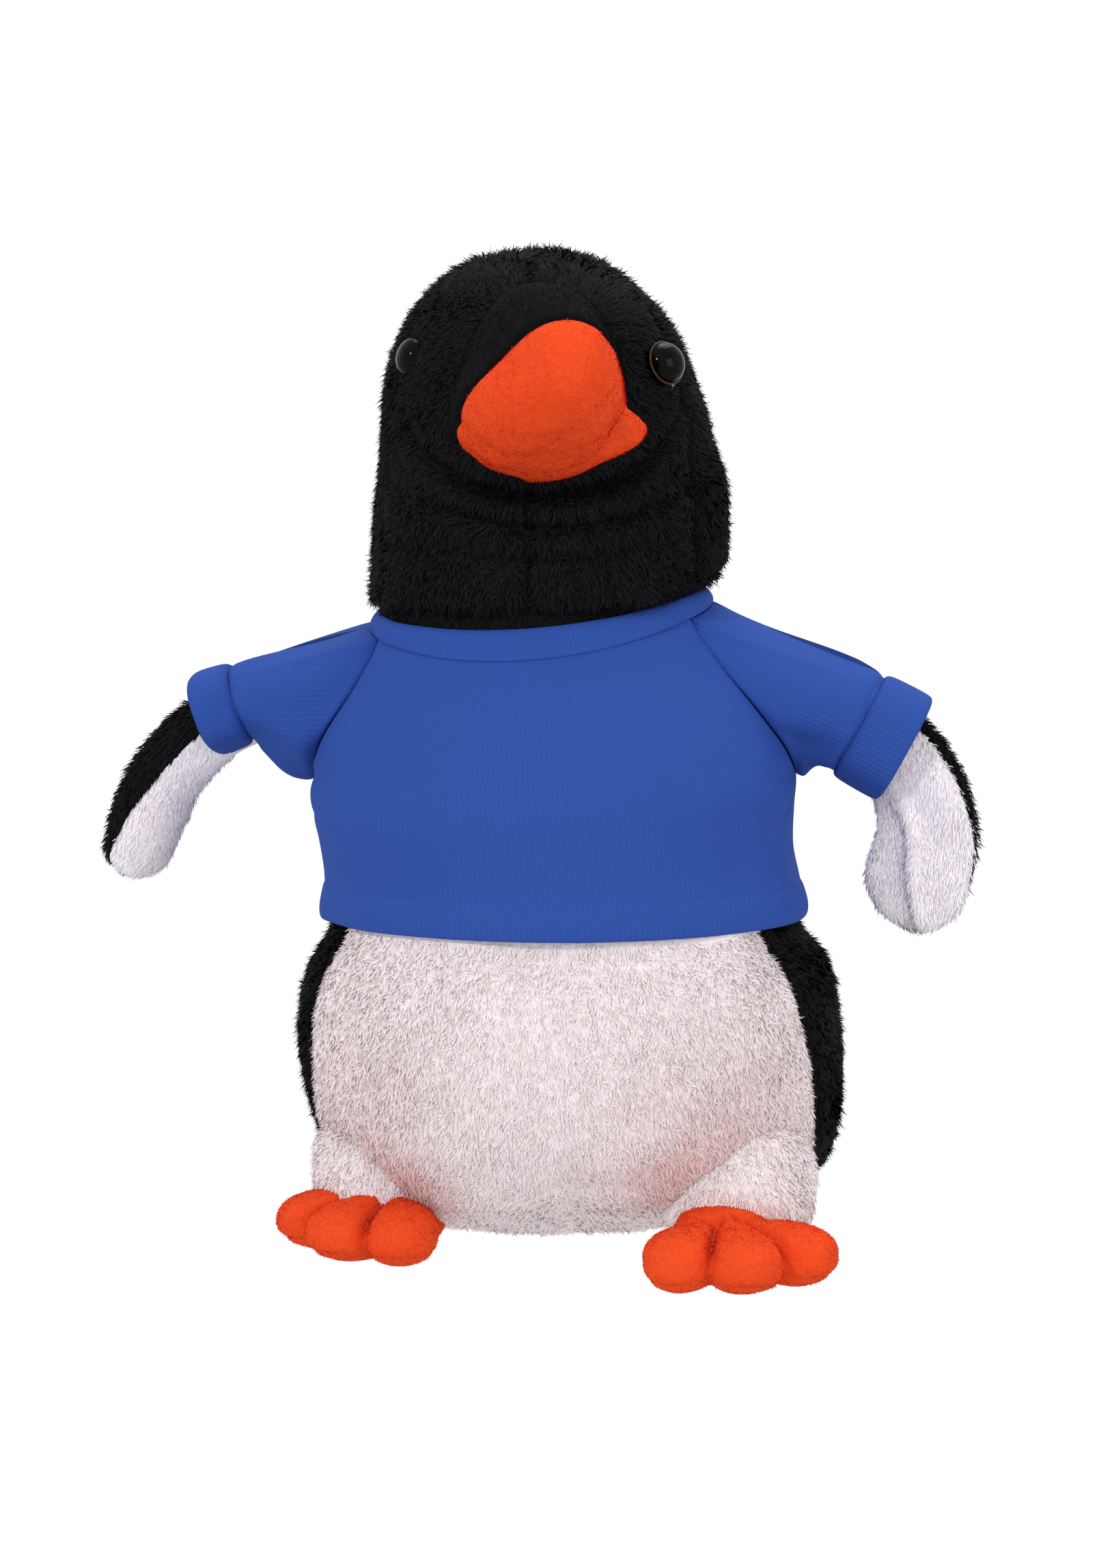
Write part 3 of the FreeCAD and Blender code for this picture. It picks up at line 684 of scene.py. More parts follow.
def head_shift(angle, height):
    """The head slumps to its right, and its rim is higher on the right."""
    sideways = -1.6 - 2.2 * ramp(height, 150, 190)
    return sideways, 2.6 * np.sin(angle) * (1 - ramp(height, 126, 150))


def make_head():
    """Two halves of the face, joined down the middle, and the back of the head."""
    middle = HEAD(0, 0, 150)
    panels = {
        "face_panel_left": (-SIDE_SEAM, 0),
        "face_panel_right": (0, SIDE_SEAM),
        "head_back_panel": (SIDE_SEAM, 2 * math.pi - SIDE_SEAM),
    }
    for seed, (name, (start, end)) in enumerate(panels.items(), start=20):
        columns = 110 if end - start < 2 else 190
        grid = turned(HEAD, HEAD_PROFILE, panel_angles(start, end, columns), tucked(head_relief), head_shift)
        plush_panel(name, grid, BLACK_COAT, "head", middle, head_flow, keep=bare_of_face, seed=seed,
                    size=head_pile_size)
    inside = curve_through([(0, 146.6), (14, 144.4), (24, 139.6), (29.4, 136.4), (30.4, 142), (29.8, 154),
                            (28.0, 166), (23, 178), (14, 187), (0, 191)], 90)
    fill = turned(HEAD, inside, panel_angles(0, 2 * math.pi, 60), plain, head_shift)
    filling("head_filling", fill, grid_faces(90, 60), "head", "head_stuffing", middle)


def head_flow(points):
    """Down the head and away from the bill."""
    around = unit(points - BILL.origin)
    near = bump(np.linalg.norm(points - BILL.origin, axis=1), 34)[:, None]
    return -WORLD_UP + 1.2 * near * around + 0.25 * BACK


def head_pile_size(points):
    """Short by the eyes and the bill, longer at the rim over the collar."""
    local = HEAD.local(points)
    size = 1 + 0.1 * (1 - ramp(local[:, 2], 126, 134))
    for side in SIDES:
        size = size * (1 - 0.5 * bump(np.linalg.norm(points - EYE[side].origin, axis=1), 7))
    return size


def bare_of_face(points):
    """True where neither an eye nor the bill covers the face."""
    clear = HEAD.local(points)[:, 2] > 120
    for side in SIDES:
        across = EYE[side].local(points)
        clear &= np.hypot(across[:, 0], across[:, 1]) > EYE_RADIUS - 0.3
    across = BILL.local(points)
    return clear & (np.hypot(across[:, 0] / BILL_NARROWING, across[:, 1] / 1.08) > BILL_PROFILE[0, 0] - 2.2)


# ---------- eyes ----------

EYE_RADIUS = 4.2


def eye_place(side):
    """Where an eye meets the face, with its own up pointing out, along the line of its washer."""
    washer = f"eye_washer_{side}"
    out = unit((low(washer) + high(washer)) / 2 - HEAD(0, 0, CROWN_HEIGHT))
    across = unit(np.cross(WORLD_UP, out))
    return Place(HEAD(0, 0, CROWN_HEIGHT) + 32.6 * out, across, np.cross(out, across), out)


EYE = {side: eye_place(side) for side in SIDES}


def make_eye(side):
    """A glossy dome on a thin brown rim."""
    dome = curve_through([(4.0, -1.5), (4.1, 0.5), (3.8, 1.6), (2.9, 2.7), (1.5, 3.4), (0, 3.6)], 30)
    rim = np.array([(EYE_RADIUS + 0.22 * math.cos(a), 0.55 + 0.22 * math.sin(a))
                    for a in np.linspace(-math.pi, math.pi, 17)])
    angles = np.linspace(0, 2 * math.pi, 73)[None, :]
    parts = {"dome": (dome, EYE_PLASTIC, EYE[side](0, 0, -1), [f"eye_{side}"]),
             "rim": (rim, EYE_RIM, None, [])}
    for part, (profile, material, inside, stands_for) in parts.items():
        radius, height = profile[:, :1], profile[:, 1:] + 0 * angles
        grid = EYE[side](radius * np.sin(angles), radius * np.cos(angles), height)
        piece = mesh_piece(f"eye_{part}_{side}", grid, grid_faces(len(profile), 73), material, inside)
        finish_piece(piece, "head", stands_for)


# ---------- bill ----------

BILL_TURN = math.radians(14)
BILL_TILT = math.radians(12)
BILL_ROOT = (27.0, 169.8)
BILL_PROFILE = curve_through([(18.6, -9), (18.4, 0), (16.9, 12), (13.6, 23), (9.8, 31), (5.8, 35.6),
                              (0, 37.4)], 90)
BILL_NARROWING = 0.85
MOUTH_DROP = 9.5
MOUTH_RISE = math.radians(26)


def bill_place():
    """The bill's root, with its own up pointing along the bill and its back pointing up."""
    forward = HEAD.side * math.sin(BILL_TURN) - HEAD.back * math.cos(BILL_TURN)
    along = forward * math.cos(BILL_TILT) + HEAD.up * math.sin(BILL_TILT)
    upward = HEAD.up * math.cos(BILL_TILT) - forward * math.sin(BILL_TILT)
    return Place(HEAD(0, -BILL_ROOT[0], BILL_ROOT[1]), np.cross(upward, along), upward, along)


BILL = bill_place()


def bill_form():
    """A blunt cone, taller above the seam, with a pinched fold at the right corner of the mouth."""
    angles = np.linspace(0, 2 * math.pi, 181)[None, :]
    radius, along = BILL_PROFILE[:, :1], BILL_PROFILE[:, 1:] + 0 * angles
    across, upward = BILL_NARROWING * radius * np.sin(angles), radius * np.cos(angles)
    above = ramp(np.cos(angles), -0.45, 0.35)
    lopsided = mix(np.where(across < 0, 1.24, 1.0), np.where(across < 0, 1.0, 0.92), above)
    across = across * mix(lopsided, 1, ramp(along, 22, 36))
    upward = upward * (1 + 0.14 * (upward > 0) * (1 - ramp(along, 4, 34)))
    spots = stacked(across, upward, along)
    lumps = 0.35 * ripple(spots, 12, 31) + 0.2 * ripple(spots, 5, 32)
    past = np.mod(angles, 2 * math.pi) - 1.90
    corner = bump(along - 5.5, 4.5) * bump(past, np.where(past > 0, 0.42, 0.18))
    wide = 1 + (lumps + 6.0 * corner) / np.maximum(radius, 4)
    crease = bump(along - 11, 4) * bump(past - 0.28, 0.10)
    wide = wide - 1.4 * crease / np.maximum(radius, 4)
    return across * wide, upward * wide, along


def make_bill():
    """The black upper and the orange lower fleece, cut from one form along the seam."""
    across, upward, along = bill_form()
    normal = np.array([0, math.cos(MOUTH_RISE), -math.sin(MOUTH_RISE)])
    over = (stacked(across, upward + MOUTH_DROP, along) * normal).sum(-1)
    grid = BILL(across, upward, along)
    normals = grid_normals(grid, False, BILL(0, 0, 10))
    faces = grid_faces(*grid.shape[:2])
    filling("bill_filling", grid - 2.6 * normals, faces, "head", "bill_stuffing", BILL(0, 0, 10))
    grid = grid - 0.9 * (bump(over, 0.8) * ramp(along, 2, 6))[..., None] * normals
    cut_point = BILL(0, -MOUTH_DROP, 0)
    cut_normal = BILL.back * normal[1] + BILL.up * normal[2]
    halves = {
        "bill_upper": (BLACK_FLEECE, "black_fleece", FLEECE_BLACK),
        "bill_lower": (ORANGE_FLEECE, "orange_fleece", FLEECE_ORANGE),
    }
    for seed, (name, (material, slot, pile)) in enumerate(halves.items(), start=40):
        piece = mesh_piece(f"{name}_fleece", grid, faces, material, BILL(0, 0, 10))
        keep_half(piece.data, cut_point, cut_normal, above=name == "bill_upper")
        finish_piece(piece, "head", [name])
        tufts(f"{name}_fuzz", piece, pile, BILL.up, "head", slot, seed=seed)


# ---------- body ----------

BODY_PROFILE = curve_through([(0, -2.2), (18, -1.2), (32, 0.9), (45.5, 6), (51, 14), (54, 25), (55, 36),
                              (54.4, 45), (52.0, 53), (48.2, 59.5), (46.6, 65), (46.0, 74), (46.2, 82),
                              (45.8, 90), (42, 104), (35.5, 115), (31.5, 121)], 180)
HEM_HEIGHT = 62.3


def belly_edge(height):
    """The angle of the seam between the belly and the back, from the front."""
    return np.radians(62.5 + 7.5 * (1 - ramp(height, 5, 62)))


def body_relief(angle, height, radius):
    """Lumpy pellets low down, smoother stuffing above, and a faint hollow in the middle."""
    spots = on_ring(angle, radius, height)
    loose = ramp(height, 2, 10) * (1 - ramp(height, 58, 70))
    push = loose * (0.7 * ripple(spots, 24, 13) + 0.35 * ripple(spots, 10, 14))
    push = push - 1.6 * bump((angle - 0.1) * radius, 5) * bump(height - 14, 9)
    return push


def body_shift(angle, height):
    """The waist follows the shirt's crooked hem, and the belly clears the floor in front."""
    front = bump(np.mod(angle + math.pi, 2 * math.pi) - math.pi, 0.8)
    belly = 5.2 * front * ramp(height, -1.8, 2) * (1 - ramp(height, 10, 26))
    return 0, belly + (hem_line(angle) - HEM_HEIGHT) * ramp(height, 38, 58) * (1 - ramp(height, 68, 88))


def on_floor(points, clearance=0.3):
    """The same points, with any under the floor pressed flat on to it."""
    points = points.copy()
    points[..., 2] = np.maximum(points[..., 2], clearance)
    return points


def make_body():
    """The white belly, the black back in two halves, the seat and what fills them."""
    middle = TRUNK(0, 0, 50)
    height = BODY_PROFILE[:, 1]
    panels = {
        "belly_panel": (-belly_edge(height), belly_edge(height), WHITE_COAT, pink_patches),
        "back_panel_right": (belly_edge(height), math.pi, BLACK_COAT, None),
        "back_panel_left": (math.pi, 2 * math.pi - belly_edge(height), BLACK_COAT, None),
    }
    for seed, (name, (start, end, coat, tint)) in enumerate(panels.items(), start=60):
        angles = panel_angles(start, end, 150)
        grid = on_floor(turned(TRUNK, BODY_PROFILE, angles, tucked(body_relief), body_shift))
        plush_panel(name, grid, coat, "torso", middle, body_flow, keep=below_shirt, seed=seed, tint=tint)
    angles = panel_angles(0, 2 * math.pi, 60)
    inside = BODY_PROFILE * [0.9, 0.9] + [0, 6.5]
    fill = on_floor(turned(TRUNK, inside, angles, plain, body_shift), 3.0)
    filling("body_filling", fill, grid_faces(len(inside), 60), "torso", "torso_stuffing", middle)
    seat_profile = curve_through([(0, 0), (12, 0), (20, 0.4), (24, 1.4)], 20)
    seat_grid = turned(TRUNK, seat_profile, angles, plain)
    seat_grid = on_floor(seat_grid + np.array([0, 9, -1.5]), 0.1)
    seat = mesh_piece("seat_gusset", seat_grid, grid_faces(20, 60), WHITE_BACKING, middle)
    finish_piece(seat, "torso", ["seat_panel"])


def body_flow(points):
    """Down the body, spreading out sideways low on the belly."""
    local = TRUNK.local(points)
    spread = (1 - ramp(local[:, 2], 10, 45))[:, None] * np.sign(local[:, :1]) * TRUNK.side
    return -TRUNK.up + 0.35 * spread


def below_shirt(points):
    local = TRUNK.local(points)
    hem = hem_line(np.arctan2(local[:, 0], -local[:, 1]))
    return (local[:, 2] < hem - 0.5) & (points[:, 2] > 1.2)


def pink_patches(points):
    """Two warm patches on the white plush above the legs, near the feet's orange."""
    patch = 0
    for side in SIDES:
        leg = LEG[side]
        patch = patch + bump(np.linalg.norm((points - leg - [0, -12, 12]) * [1, 0.6, 1], axis=1), 17)
    return np.clip(0.08 + 0.75 * patch, 0, 0.9)


# ---------- neck ----------

def make_neck():
    """The plush that closes the gap between the head and the collar when the head moves."""
    profile = curve_through([(33.6, 116), (33.4, 122), (32.4, 128), (30.0, 132), (24, 136), (12, 141),
                             (0, 142.6)], 40)
    grid = turned(TRUNK, profile, panel_angles(0, 2 * math.pi, 90), plain)
    plush_panel("neck", grid, BLACK_COAT, "neck", TRUNK(0, 0, 120), -WORLD_UP, node="neck_stuffing",
                keep=by_collar, seed=80, size=0.55)


def by_collar(points):
    height = TRUNK.local(points)[:, 2]
    return (height < 130) & (height > 120)


# ---------- legs and feet ----------

LEG_RADIUS = 16.0
LEG = {
    "left": np.array([low("leg_left")[0] + LEG_RADIUS, low("leg_left")[1] + LEG_RADIUS, 13.5]),
    "right": np.array([high("leg_right")[0] - LEG_RADIUS, low("leg_right")[1] + LEG_RADIUS, 13.5]),
}
TOE_RADIUS = 6.6
TOE_LENGTH = 17.5
TOE_SPLAY = math.radians(38)
FOOT_TURN = {"left": math.radians(-32), "right": math.radians(18)}
HEEL = {
    "left": np.array([-20.0, -25.0, 0]),
    "right": np.array([44.0, low("foot_sole_right")[1] + TOE_RADIUS
                       + TOE_LENGTH * math.cos(FOOT_TURN["right"]), 0]),
}
TOE_BULGE = {"left": 1.2, "right": 3.0}
SOLE_SEAM = 2.7


def make_leg(side):
    """A short stuffed leg that comes out of the body over the foot, with a fringe of pile."""
    profile = curve_through([(0, 2.6), (9, 3.0), (14.6, 7.2), (15.9, 12), (15.0, 18), (11.8, 23.5),
                             (6.5, 27), (0, 28.2)], 50)
    angles = panel_angles(0, 2 * math.pi, 90)
    radius, height = profile[:, :1], profile[:, 1:] + 0 * angles
    lean = 0.30 * (height - 12)
    x = radius * np.sin(angles)
    y = -radius * np.cos(angles) + lean
    place = Place(LEG[side] * [1, 1, 0], [1, 0, 0], BACK, WORLD_UP)
    grid = place(x, y, height)
    grid = grid + 0.5 * ripple(grid, 9, 91)[..., None] * unit(grid - LEG[side])

    def flow(points):
        return unit(points - LEG[side]) * [1, 1, 0] - 0.9 * WORLD_UP

    plush_panel(f"leg_{side}", grid, WHITE_COAT, "torso", LEG[side], flow, keep=outside_body,
                seed=90 + SIDES[side], tint=orange_fringe)


def outside_body(points):
    local = TRUNK.local(points)
    inner = np.interp(local[:, 2], BODY_PROFILE[:, 1], BODY_PROFILE[:, 0])
    return (np.hypot(local[:, 0], local[:, 1]) > inner - 1.5) & (points[:, 2] > 3.2)


def orange_fringe(points):
    """The legs' pile is warmer down by the feet."""
    return 0.15 + 0.4 * (1 - ramp(points[:, 2], 6, 16))


def above_floor(points):
    return points[:, 2] > 0.8


def foot_direction(side, splay=0.0):
    turn = FOOT_TURN[side] + splay
    return np.array([math.sin(turn), -math.cos(turn), 0])


def add_ball(made, middle, radii, way):
    """An ellipsoid, a little boxy upwards, whose second radius points along way."""
    ball = bmesh.ops.create_icosphere(made, subdivisions=4, radius=1.0)
    side = np.array([-way[1], way[0], 0])
    for vertex in ball["verts"]:
        x, y, z = vertex.co
        z = math.copysign(abs(z) ** 0.72, z)
        point = middle + x * radii[0] * side + y * radii[1] * way + z * radii[2] * WORLD_UP
        vertex.co = Vector(point * MM)


def make_foot(side):
    """Three stuffed toes with stitched creases between them, a seam round the edge, and a sole."""
    forward = foot_direction(side)
    shaped = foot_form(side, forward)
    shape_foot(shaped, side)
    for name, upper in ((f"foot_top_{side}", True), (f"foot_sole_{side}", False)):
        half = shaped.copy()
        keep_half(half, (0, 0, SOLE_SEAM), (0, 0, 1), above=upper)
        piece = smooth_object(f"{name}_fleece", half, [ORANGE_FLEECE])
        finish_piece(piece, "torso", [name])
        tufts(f"{name}_fuzz", piece, FLEECE_ORANGE, forward, "torso", "orange_fleece", keep=above_floor,
              seed=100)
    make_toe_stitches(side, shaped)
    points, normals, triangles = surface(shaped)
    filling(f"foot_filling_{side}", points - 2.2 * normals, triangles.tolist(), "torso",
            f"foot_stuffing_{side}")


def foot_form(side, forward):
    """Heel, web and toes melted into one smooth mesh."""
    mesh = bpy.data.meshes.new(f"foot_{side}_form")
    with edited(mesh) as made:
        add_ball(made, HEEL[side] + 2 * forward + [0, 0, 6.2], (10.0, 10.0, 6.6), forward)
        add_ball(made, HEEL[side] + 9.5 * forward + [0, 0, 5.9], (12.5, 10.5, 6.0), forward)
        for step, length, width in ((-1, 10.5, 7.6), (0, 12.0, 9.2), (1, 10.5, 7.6)):
            way = foot_direction(side, step * TOE_SPLAY)
            reach = TOE_LENGTH + TOE_RADIUS + TOE_BULGE[side] - length
            add_ball(made, HEEL[side] + reach * way + [0, 0, 5.8], (width, length, 5.8), way)
    form = new_object(mesh.name, mesh)
    joined = form.modifiers.new("join", "REMESH")
    joined.mode = "VOXEL"
    joined.voxel_size = 0.55 * MM
    smooth = form.modifiers.new("smooth", "SMOOTH")
    smooth.factor = 0.6
    smooth.iterations = 6
    bpy.context.view_layer.update()
    melted = bpy.data.meshes.new_from_object(form.evaluated_get(bpy.context.evaluated_depsgraph_get()))
    bpy.data.objects.remove(form)
    return melted


def shape_foot(mesh, side):
    """Draws in the creases between the toes and the seam round the foot, and flattens the sole."""
    points = mesh_points(mesh)
    outward = unit((points - HEEL[side]) * [1, 1, 0])
    away = np.linalg.norm((points - HEEL[side])[:, :2], axis=1)
    for step in (-0.5, 0.5):
        way = foot_direction(side, step * TOE_SPLAY)
        across = np.array([-way[1], way[0], 0])
        offset = (points - HEEL[side]) @ across
        ahead = (points - HEEL[side]) @ way
        crease = bump(offset, 1.1) * ramp(ahead, 4, 9)
        points[:, 2] -= 2.3 * crease * (points[:, 2] > SOLE_SEAM) * ramp(points[:, 2], 4, 9)
        points -= 1.5 * (crease * ramp(away, 14, 18))[:, None] * outward
    points -= 0.7 * (bump(points[:, 2] - SOLE_SEAM, 0.7) * ramp(away, 9, 13))[:, None] * outward
    points += 0.25 * ripple(points, 5, 105)[:, None] * outward
    points[:, 2] = np.where(points[:, 2] < 0.6, 0.25 + 0.15 * points[:, 2].clip(0, 0.6), points[:, 2])
    mesh.vertices.foreach_set("co", (points * MM).astype(np.float32).ravel())
    mesh.update()


def make_toe_stitches(side, shaped):
    """Short lengths of thread along both creases."""
    points = mesh_points(shaped)
    vertices, faces = [], []
    for step in (-0.5, 0.5):
        way = foot_direction(side, step * TOE_SPLAY)
        for start in np.arange(10.5, 20.5, 2.0):
            path = []
            for along in np.linspace(start, start + 1.4, 7):
                spot = HEEL[side] + along * way
                near = np.linalg.norm(points[:, :2] - spot[:2], axis=1) < 0.8
                top = points[near & (points[:, 2] > SOLE_SEAM - 1)]
                share = (along - start) / 1.4
                if len(top):
                    path.append([*spot[:2], top[:, 2].max() + 0.35 * math.sin(math.pi * share) - 0.15])
            if len(path) > 3:
                add_tube(vertices, faces, np.array(path), 0.2)
    threads = mesh_piece(f"toe_threads_{side}", vertices, faces, ORANGE_THREAD)
    finish_piece(threads, "torso", [f"toe_stitches_{side}"])


NEARLY_UP = WORLD_UP + 0.01


def add_tube(vertices, faces, path, radius, sides=8):
    """Adds a closed round tube along a path to lists of vertices and faces."""
    start = len(vertices)
    along = unit(np.gradient(path, axis=0))
    across = unit(np.cross(along, NEARLY_UP))
    lift = np.cross(across, along)
    for point, a, b in zip(path, across, lift):
        for turn in np.linspace(0, 2 * math.pi, sides, endpoint=False):
            vertices.append(point + radius * (math.cos(turn) * a + math.sin(turn) * b))
    faces.extend(grid_faces(len(path), sides, closed=True, start=start))
    faces.append(tuple(range(start, start + sides)))
    last = start + (len(path) - 1) * sides
    faces.append(tuple(range(last + sides - 1, last - 1, -1)))


# ---------- wings ----------

# Each wing's middle line in front view, as X and Z, with half its width there, from the sleeve to the tip.
WING_LINE = {
    "left": [(-54, 104, 6.5), (-64, 99.5, 7.2), (-72.3, 91.5, 7.6), (-77.0, 82.5, 8.0), (-79.6, 75.2, 7.2)],
    "right": [(62, 104.5, 8.0), (73.5, 98.8, 9.0), (80.8, 90.3, 9.6), (83.2, 80.5, 10.6),
              (81.6, 70.5, 11.0)],
}
WING_TWIST = {"left": math.radians(30), "right": math.radians(20)}
WING_THICK = 4.3


def wing_sections(side):
    """Middle points, widths and outward directions of the wing's sections, to the rounded tip."""
    line = curve_through(WING_LINE[side], 50)
    middle = np.column_stack([line[:, 0], np.full(50, SHOULDER[side][1]), line[:, 1]])
    way = unit(middle[-1] - middle[-4])
    tip = np.radians(np.linspace(4, 88, 24))
    end = line[-1, 2]
    middle = np.vstack([middle, middle[-1] + end * 0.95 * np.sin(tip)[:, None] * way])
    half = np.concatenate([line[:, 2], end * np.cos(tip)])
    along = unit(np.gradient(middle, axis=0))
    flat = unit(np.cross(along, BACK))
    flat = flat * np.sign(flat[:, :1] * SIDES[side])
    twist = WING_TWIST[side] * ramp(np.linspace(0, 1, len(middle)), 0.1, 0.5)[:, None]
    outer = np.cos(twist) * flat - np.sin(twist) * BACK
    front = unit(np.cross(along, outer))
    front = front * np.where(front[:, 1:2] > 0, -1, 1)
    return middle, half, outer, front


def wing_seam(side, count):
    """How far the black plush wraps round the outer edge on to the front, as an angle."""
    along = np.linspace(0, 1, count)
    near, far = {"left": (84, 6), "right": (32, -28)}[side]
    return np.radians(mix(near, far, ramp(along, 0.15, 0.95)))


def fold_over(across, deep, angle):
    """Presses the right wing's inner strip back along a crease that crosses the wing."""
    step = np.arange(len(across))[:, None] / len(across)
    fold = across - mix(-11.0, 5.0, step)
    facing = np.clip(np.sin(angle), 0, 1) * ramp(step, 0.3, 0.5)
    deep = deep - 2.6 * facing * (1 - ramp(fold, -1.5, 0.3)) * bump(fold + 1, 9)
    return deep + 1.8 * facing * bump(fold - 2.0, 2.0) * (1 - ramp(step, 0.8, 1))


def make_wing(side):
    """A padded paddle: white plush in front, black plush behind, with a seam round the edge."""
    middle, half, outer, front = wing_sections(side)
    thick = WING_THICK * np.minimum(1, half / half[-24]) ** 0.6
    thick = np.minimum(thick, 0.75 * half + 0.3)[:, None]
    wide = half[:, None]
    seam = wing_seam(side, len(half))
    behind = math.pi + math.radians(25)
    panels = {"inner": (seam, behind, WING_COAT, 0.05),
              "outer": (behind, 2 * math.pi + seam, BLACK_COAT, None)}
    seed = 120 + 10 * SIDES[side]

    def section_points(across, deep):
        return middle[:, None] + across[..., None] * outer[:, None] + deep[..., None] * front[:, None]

    def flow(points):
        return middle[-1] - points + 8 * unit(points - middle[0])

    def out_of_sleeve(points):
        return (points - SLEEVE[side].origin) @ SLEEVE[side].up > -3

    for layer, (start, end, coat, tint) in panels.items():
        angle = panel_angles(start, end, 60)
        across, deep = wide * np.cos(angle), thick * np.sin(angle)
        edge = np.minimum(angle - angle[:, :1], angle[:, -1:] - angle) * wide
        if layer == "inner" and side == "right":
            deep = fold_over(across, deep, angle)
        across = across * (1 - 0.06 * bump(edge, 1.2))
        grid = section_points(across, deep * (1 + 0.12 * np.sin(angle) ** 2))
        grid = grid + 0.35 * ripple(grid, 8, seed)[..., None] * front[:, None]
        plush_panel(f"wing_{layer}_{side}", grid, coat, f"wing_{side}", middle[len(middle) // 2], flow,
                    fill=0.5, keep=out_of_sleeve, seed=seed, size=0.85, tint=tint)
    ring = np.linspace(0, 2 * math.pi, 49)[None, :]
    core = section_points(0.6 * wide * np.cos(ring), 0.14 * thick * np.sin(ring))
    filling(f"wing_filling_{side}", core, grid_faces(len(middle), 49), f"wing_{side}",
            f"wing_wadding_{side}", middle[20])


# ---------- shirt ----------

KNIT_THICK = 0.9
HEM_SEAM = 6.2
SEAM_OVERLAP = 1.008
SHIRT_PROFILE = curve_through([(49.5, 58), (49.6, 62), (48.9, 68), (48.1, 74), (48.3, 82), (48.5, 90),
                               (45.4, 104), (40.8, 113.5), (36.4, 120.5), (34.7, 125.5), (33.0, 131)], 70)
ARMPIT = {"left": 94.0, "right": 88.2}
NECK_EDGE = math.radians(64)
CUFF_WIDTH = {"left": 8.2, "right": 11.2}


def sleeve_place(side):
    """The middle of the sleeve's end: up points out along the sleeve, and side to its top."""
    droop = math.radians({"left": 20, "right": 28}[side])
    out = np.array([SIDES[side] * math.cos(droop), 0, -math.sin(droop)])
    top = np.array([SIDES[side] * math.sin(droop), 0, math.cos(droop)])
    end = {"left": (-65.2, 102.4), "right": (79.0, 97.0)}[side]
    return Place([end[0], SHOULDER[side][1], end[1]], top, BACK, out)


SLEEVE = {side: sleeve_place(side) for side in SIDES}
CUFF_SIZE = {"left": (7.9, 10.5), "right": (11.2, 11.4)}
SLEEVE_SAG = {"left": 2.2, "right": -1.2}


def shirt_radius(height):
    return np.interp(height, SHIRT_PROFILE[:, 1], SHIRT_PROFILE[:, 0])


def neckline(angle):
    """Height of the seam between shirt and neckband, which dips in front."""
    return 125.2 - 6.9 * ((1 + np.cos(angle)) / 2) ** 3


def neckband_width(angle):
    """The band is widest in front; elsewhere it is folded down under the head."""
    return 2.9 + 2.9 * ((1 + np.cos(angle)) / 2) ** 3


def hem_width(angle):
    return HEM_SEAM + 1.0 + 0 * angle


def hem_line(angle):
    """Height of the shirt's lower edge, which hangs lower on the right and behind."""
    return HEM_HEIGHT + 2.5 * np.cos(angle) - 3.1 * np.sin(angle)


def shirt_point(angle, height, out=0.0):
    """A point of the shirt's body; it is dragged a little towards each armpit."""
    radius = shirt_radius(height) + out
    for side, sign in SIDES.items():
        from_pit = np.hypot((np.abs(np.sin(angle)) - 1) * 60, height - ARMPIT[side])
        radius = radius + 1.0 * bump(from_pit, 14) * (np.sin(angle) * sign > 0)
    spots = on_ring(angle, radius, height)
    radius = radius + 0.35 * ripple(spots, 20, 141) + 0.15 * ripple(spots * [1, 1, 0.35], 9, 142)
    return TRUNK(radius * np.sin(angle), -radius * np.cos(angle), height)


def raglan_top(side, behind):
    """Height at which a raglan seam meets the neckband, in front or behind."""
    return neckline(SIDES[side] * (math.pi - NECK_EDGE if behind else NECK_EDGE))


def raglan(side, height, behind):
    """Angle, from the front or from the back, of the seam between the shirt's body and a sleeve."""
    top = raglan_top(side, behind)
    down = np.clip((top - height) / (top - ARMPIT[side]), 0, 1)
    return NECK_EDGE + (math.pi / 2 - NECK_EDGE) * down ** 2.4


def make_shirt_body():
    """The front and the back, each with a curved edge to both sleeves."""
    rows, columns = 90, 140
    across = (2 * eased(columns) - 1)[None, :]
    up = eased(rows)[:, None]
    for name, behind in (("shirt_front", False), ("shirt_back", True)):
        facing, sign = (math.pi, -1) if behind else (0.0, 1)
        top = neckline(facing + sign * across * NECK_EDGE)
        bottom = hem_line(facing + sign * across * math.pi / 2) + HEM_SEAM
        height = mix(bottom, top, up)
        edge = np.where(across > 0, raglan("right", height, behind), raglan("left", height, behind))
        angle = facing + sign * across * edge * SEAM_OVERLAP
        gap = (1 - np.abs(across)) * edge * shirt_radius(height)
        seams = -0.25 * bump(gap, 0.8) - 0.4 * bump(top - height, 0.8)
        grid = shirt_point(angle, height, seams + pull_wrinkles(across, height))
        knit = stacked(across * 70, height)
        piece = cloth_shell(f"{name}_cloth", grid, knit, BLUE_KNIT, KNIT_THICK, False, TRUNK(0, 0, 90))
        finish_piece(piece, "torso", [name])


def pull_wrinkles(across, height):
    """Shallow folds that fan out from both armpits."""
    push = 0
    for side, sign in SIDES.items():
        reach = sign * across
        dx = (1 - reach) * 70
        dz = height - ARMPIT[side]
        length = ramp(dx, 1, 5) * (1 - ramp(dx, 12, 26))
        for steepness, depth in ((-0.55, 0.55), (0.15, 0.4)):
            line = dz - steepness * dx
            push = push - depth * bump(line, 1.6) * length
            push = push + 0.6 * depth * bump(line - 3.2, 2.2) * length
    return push


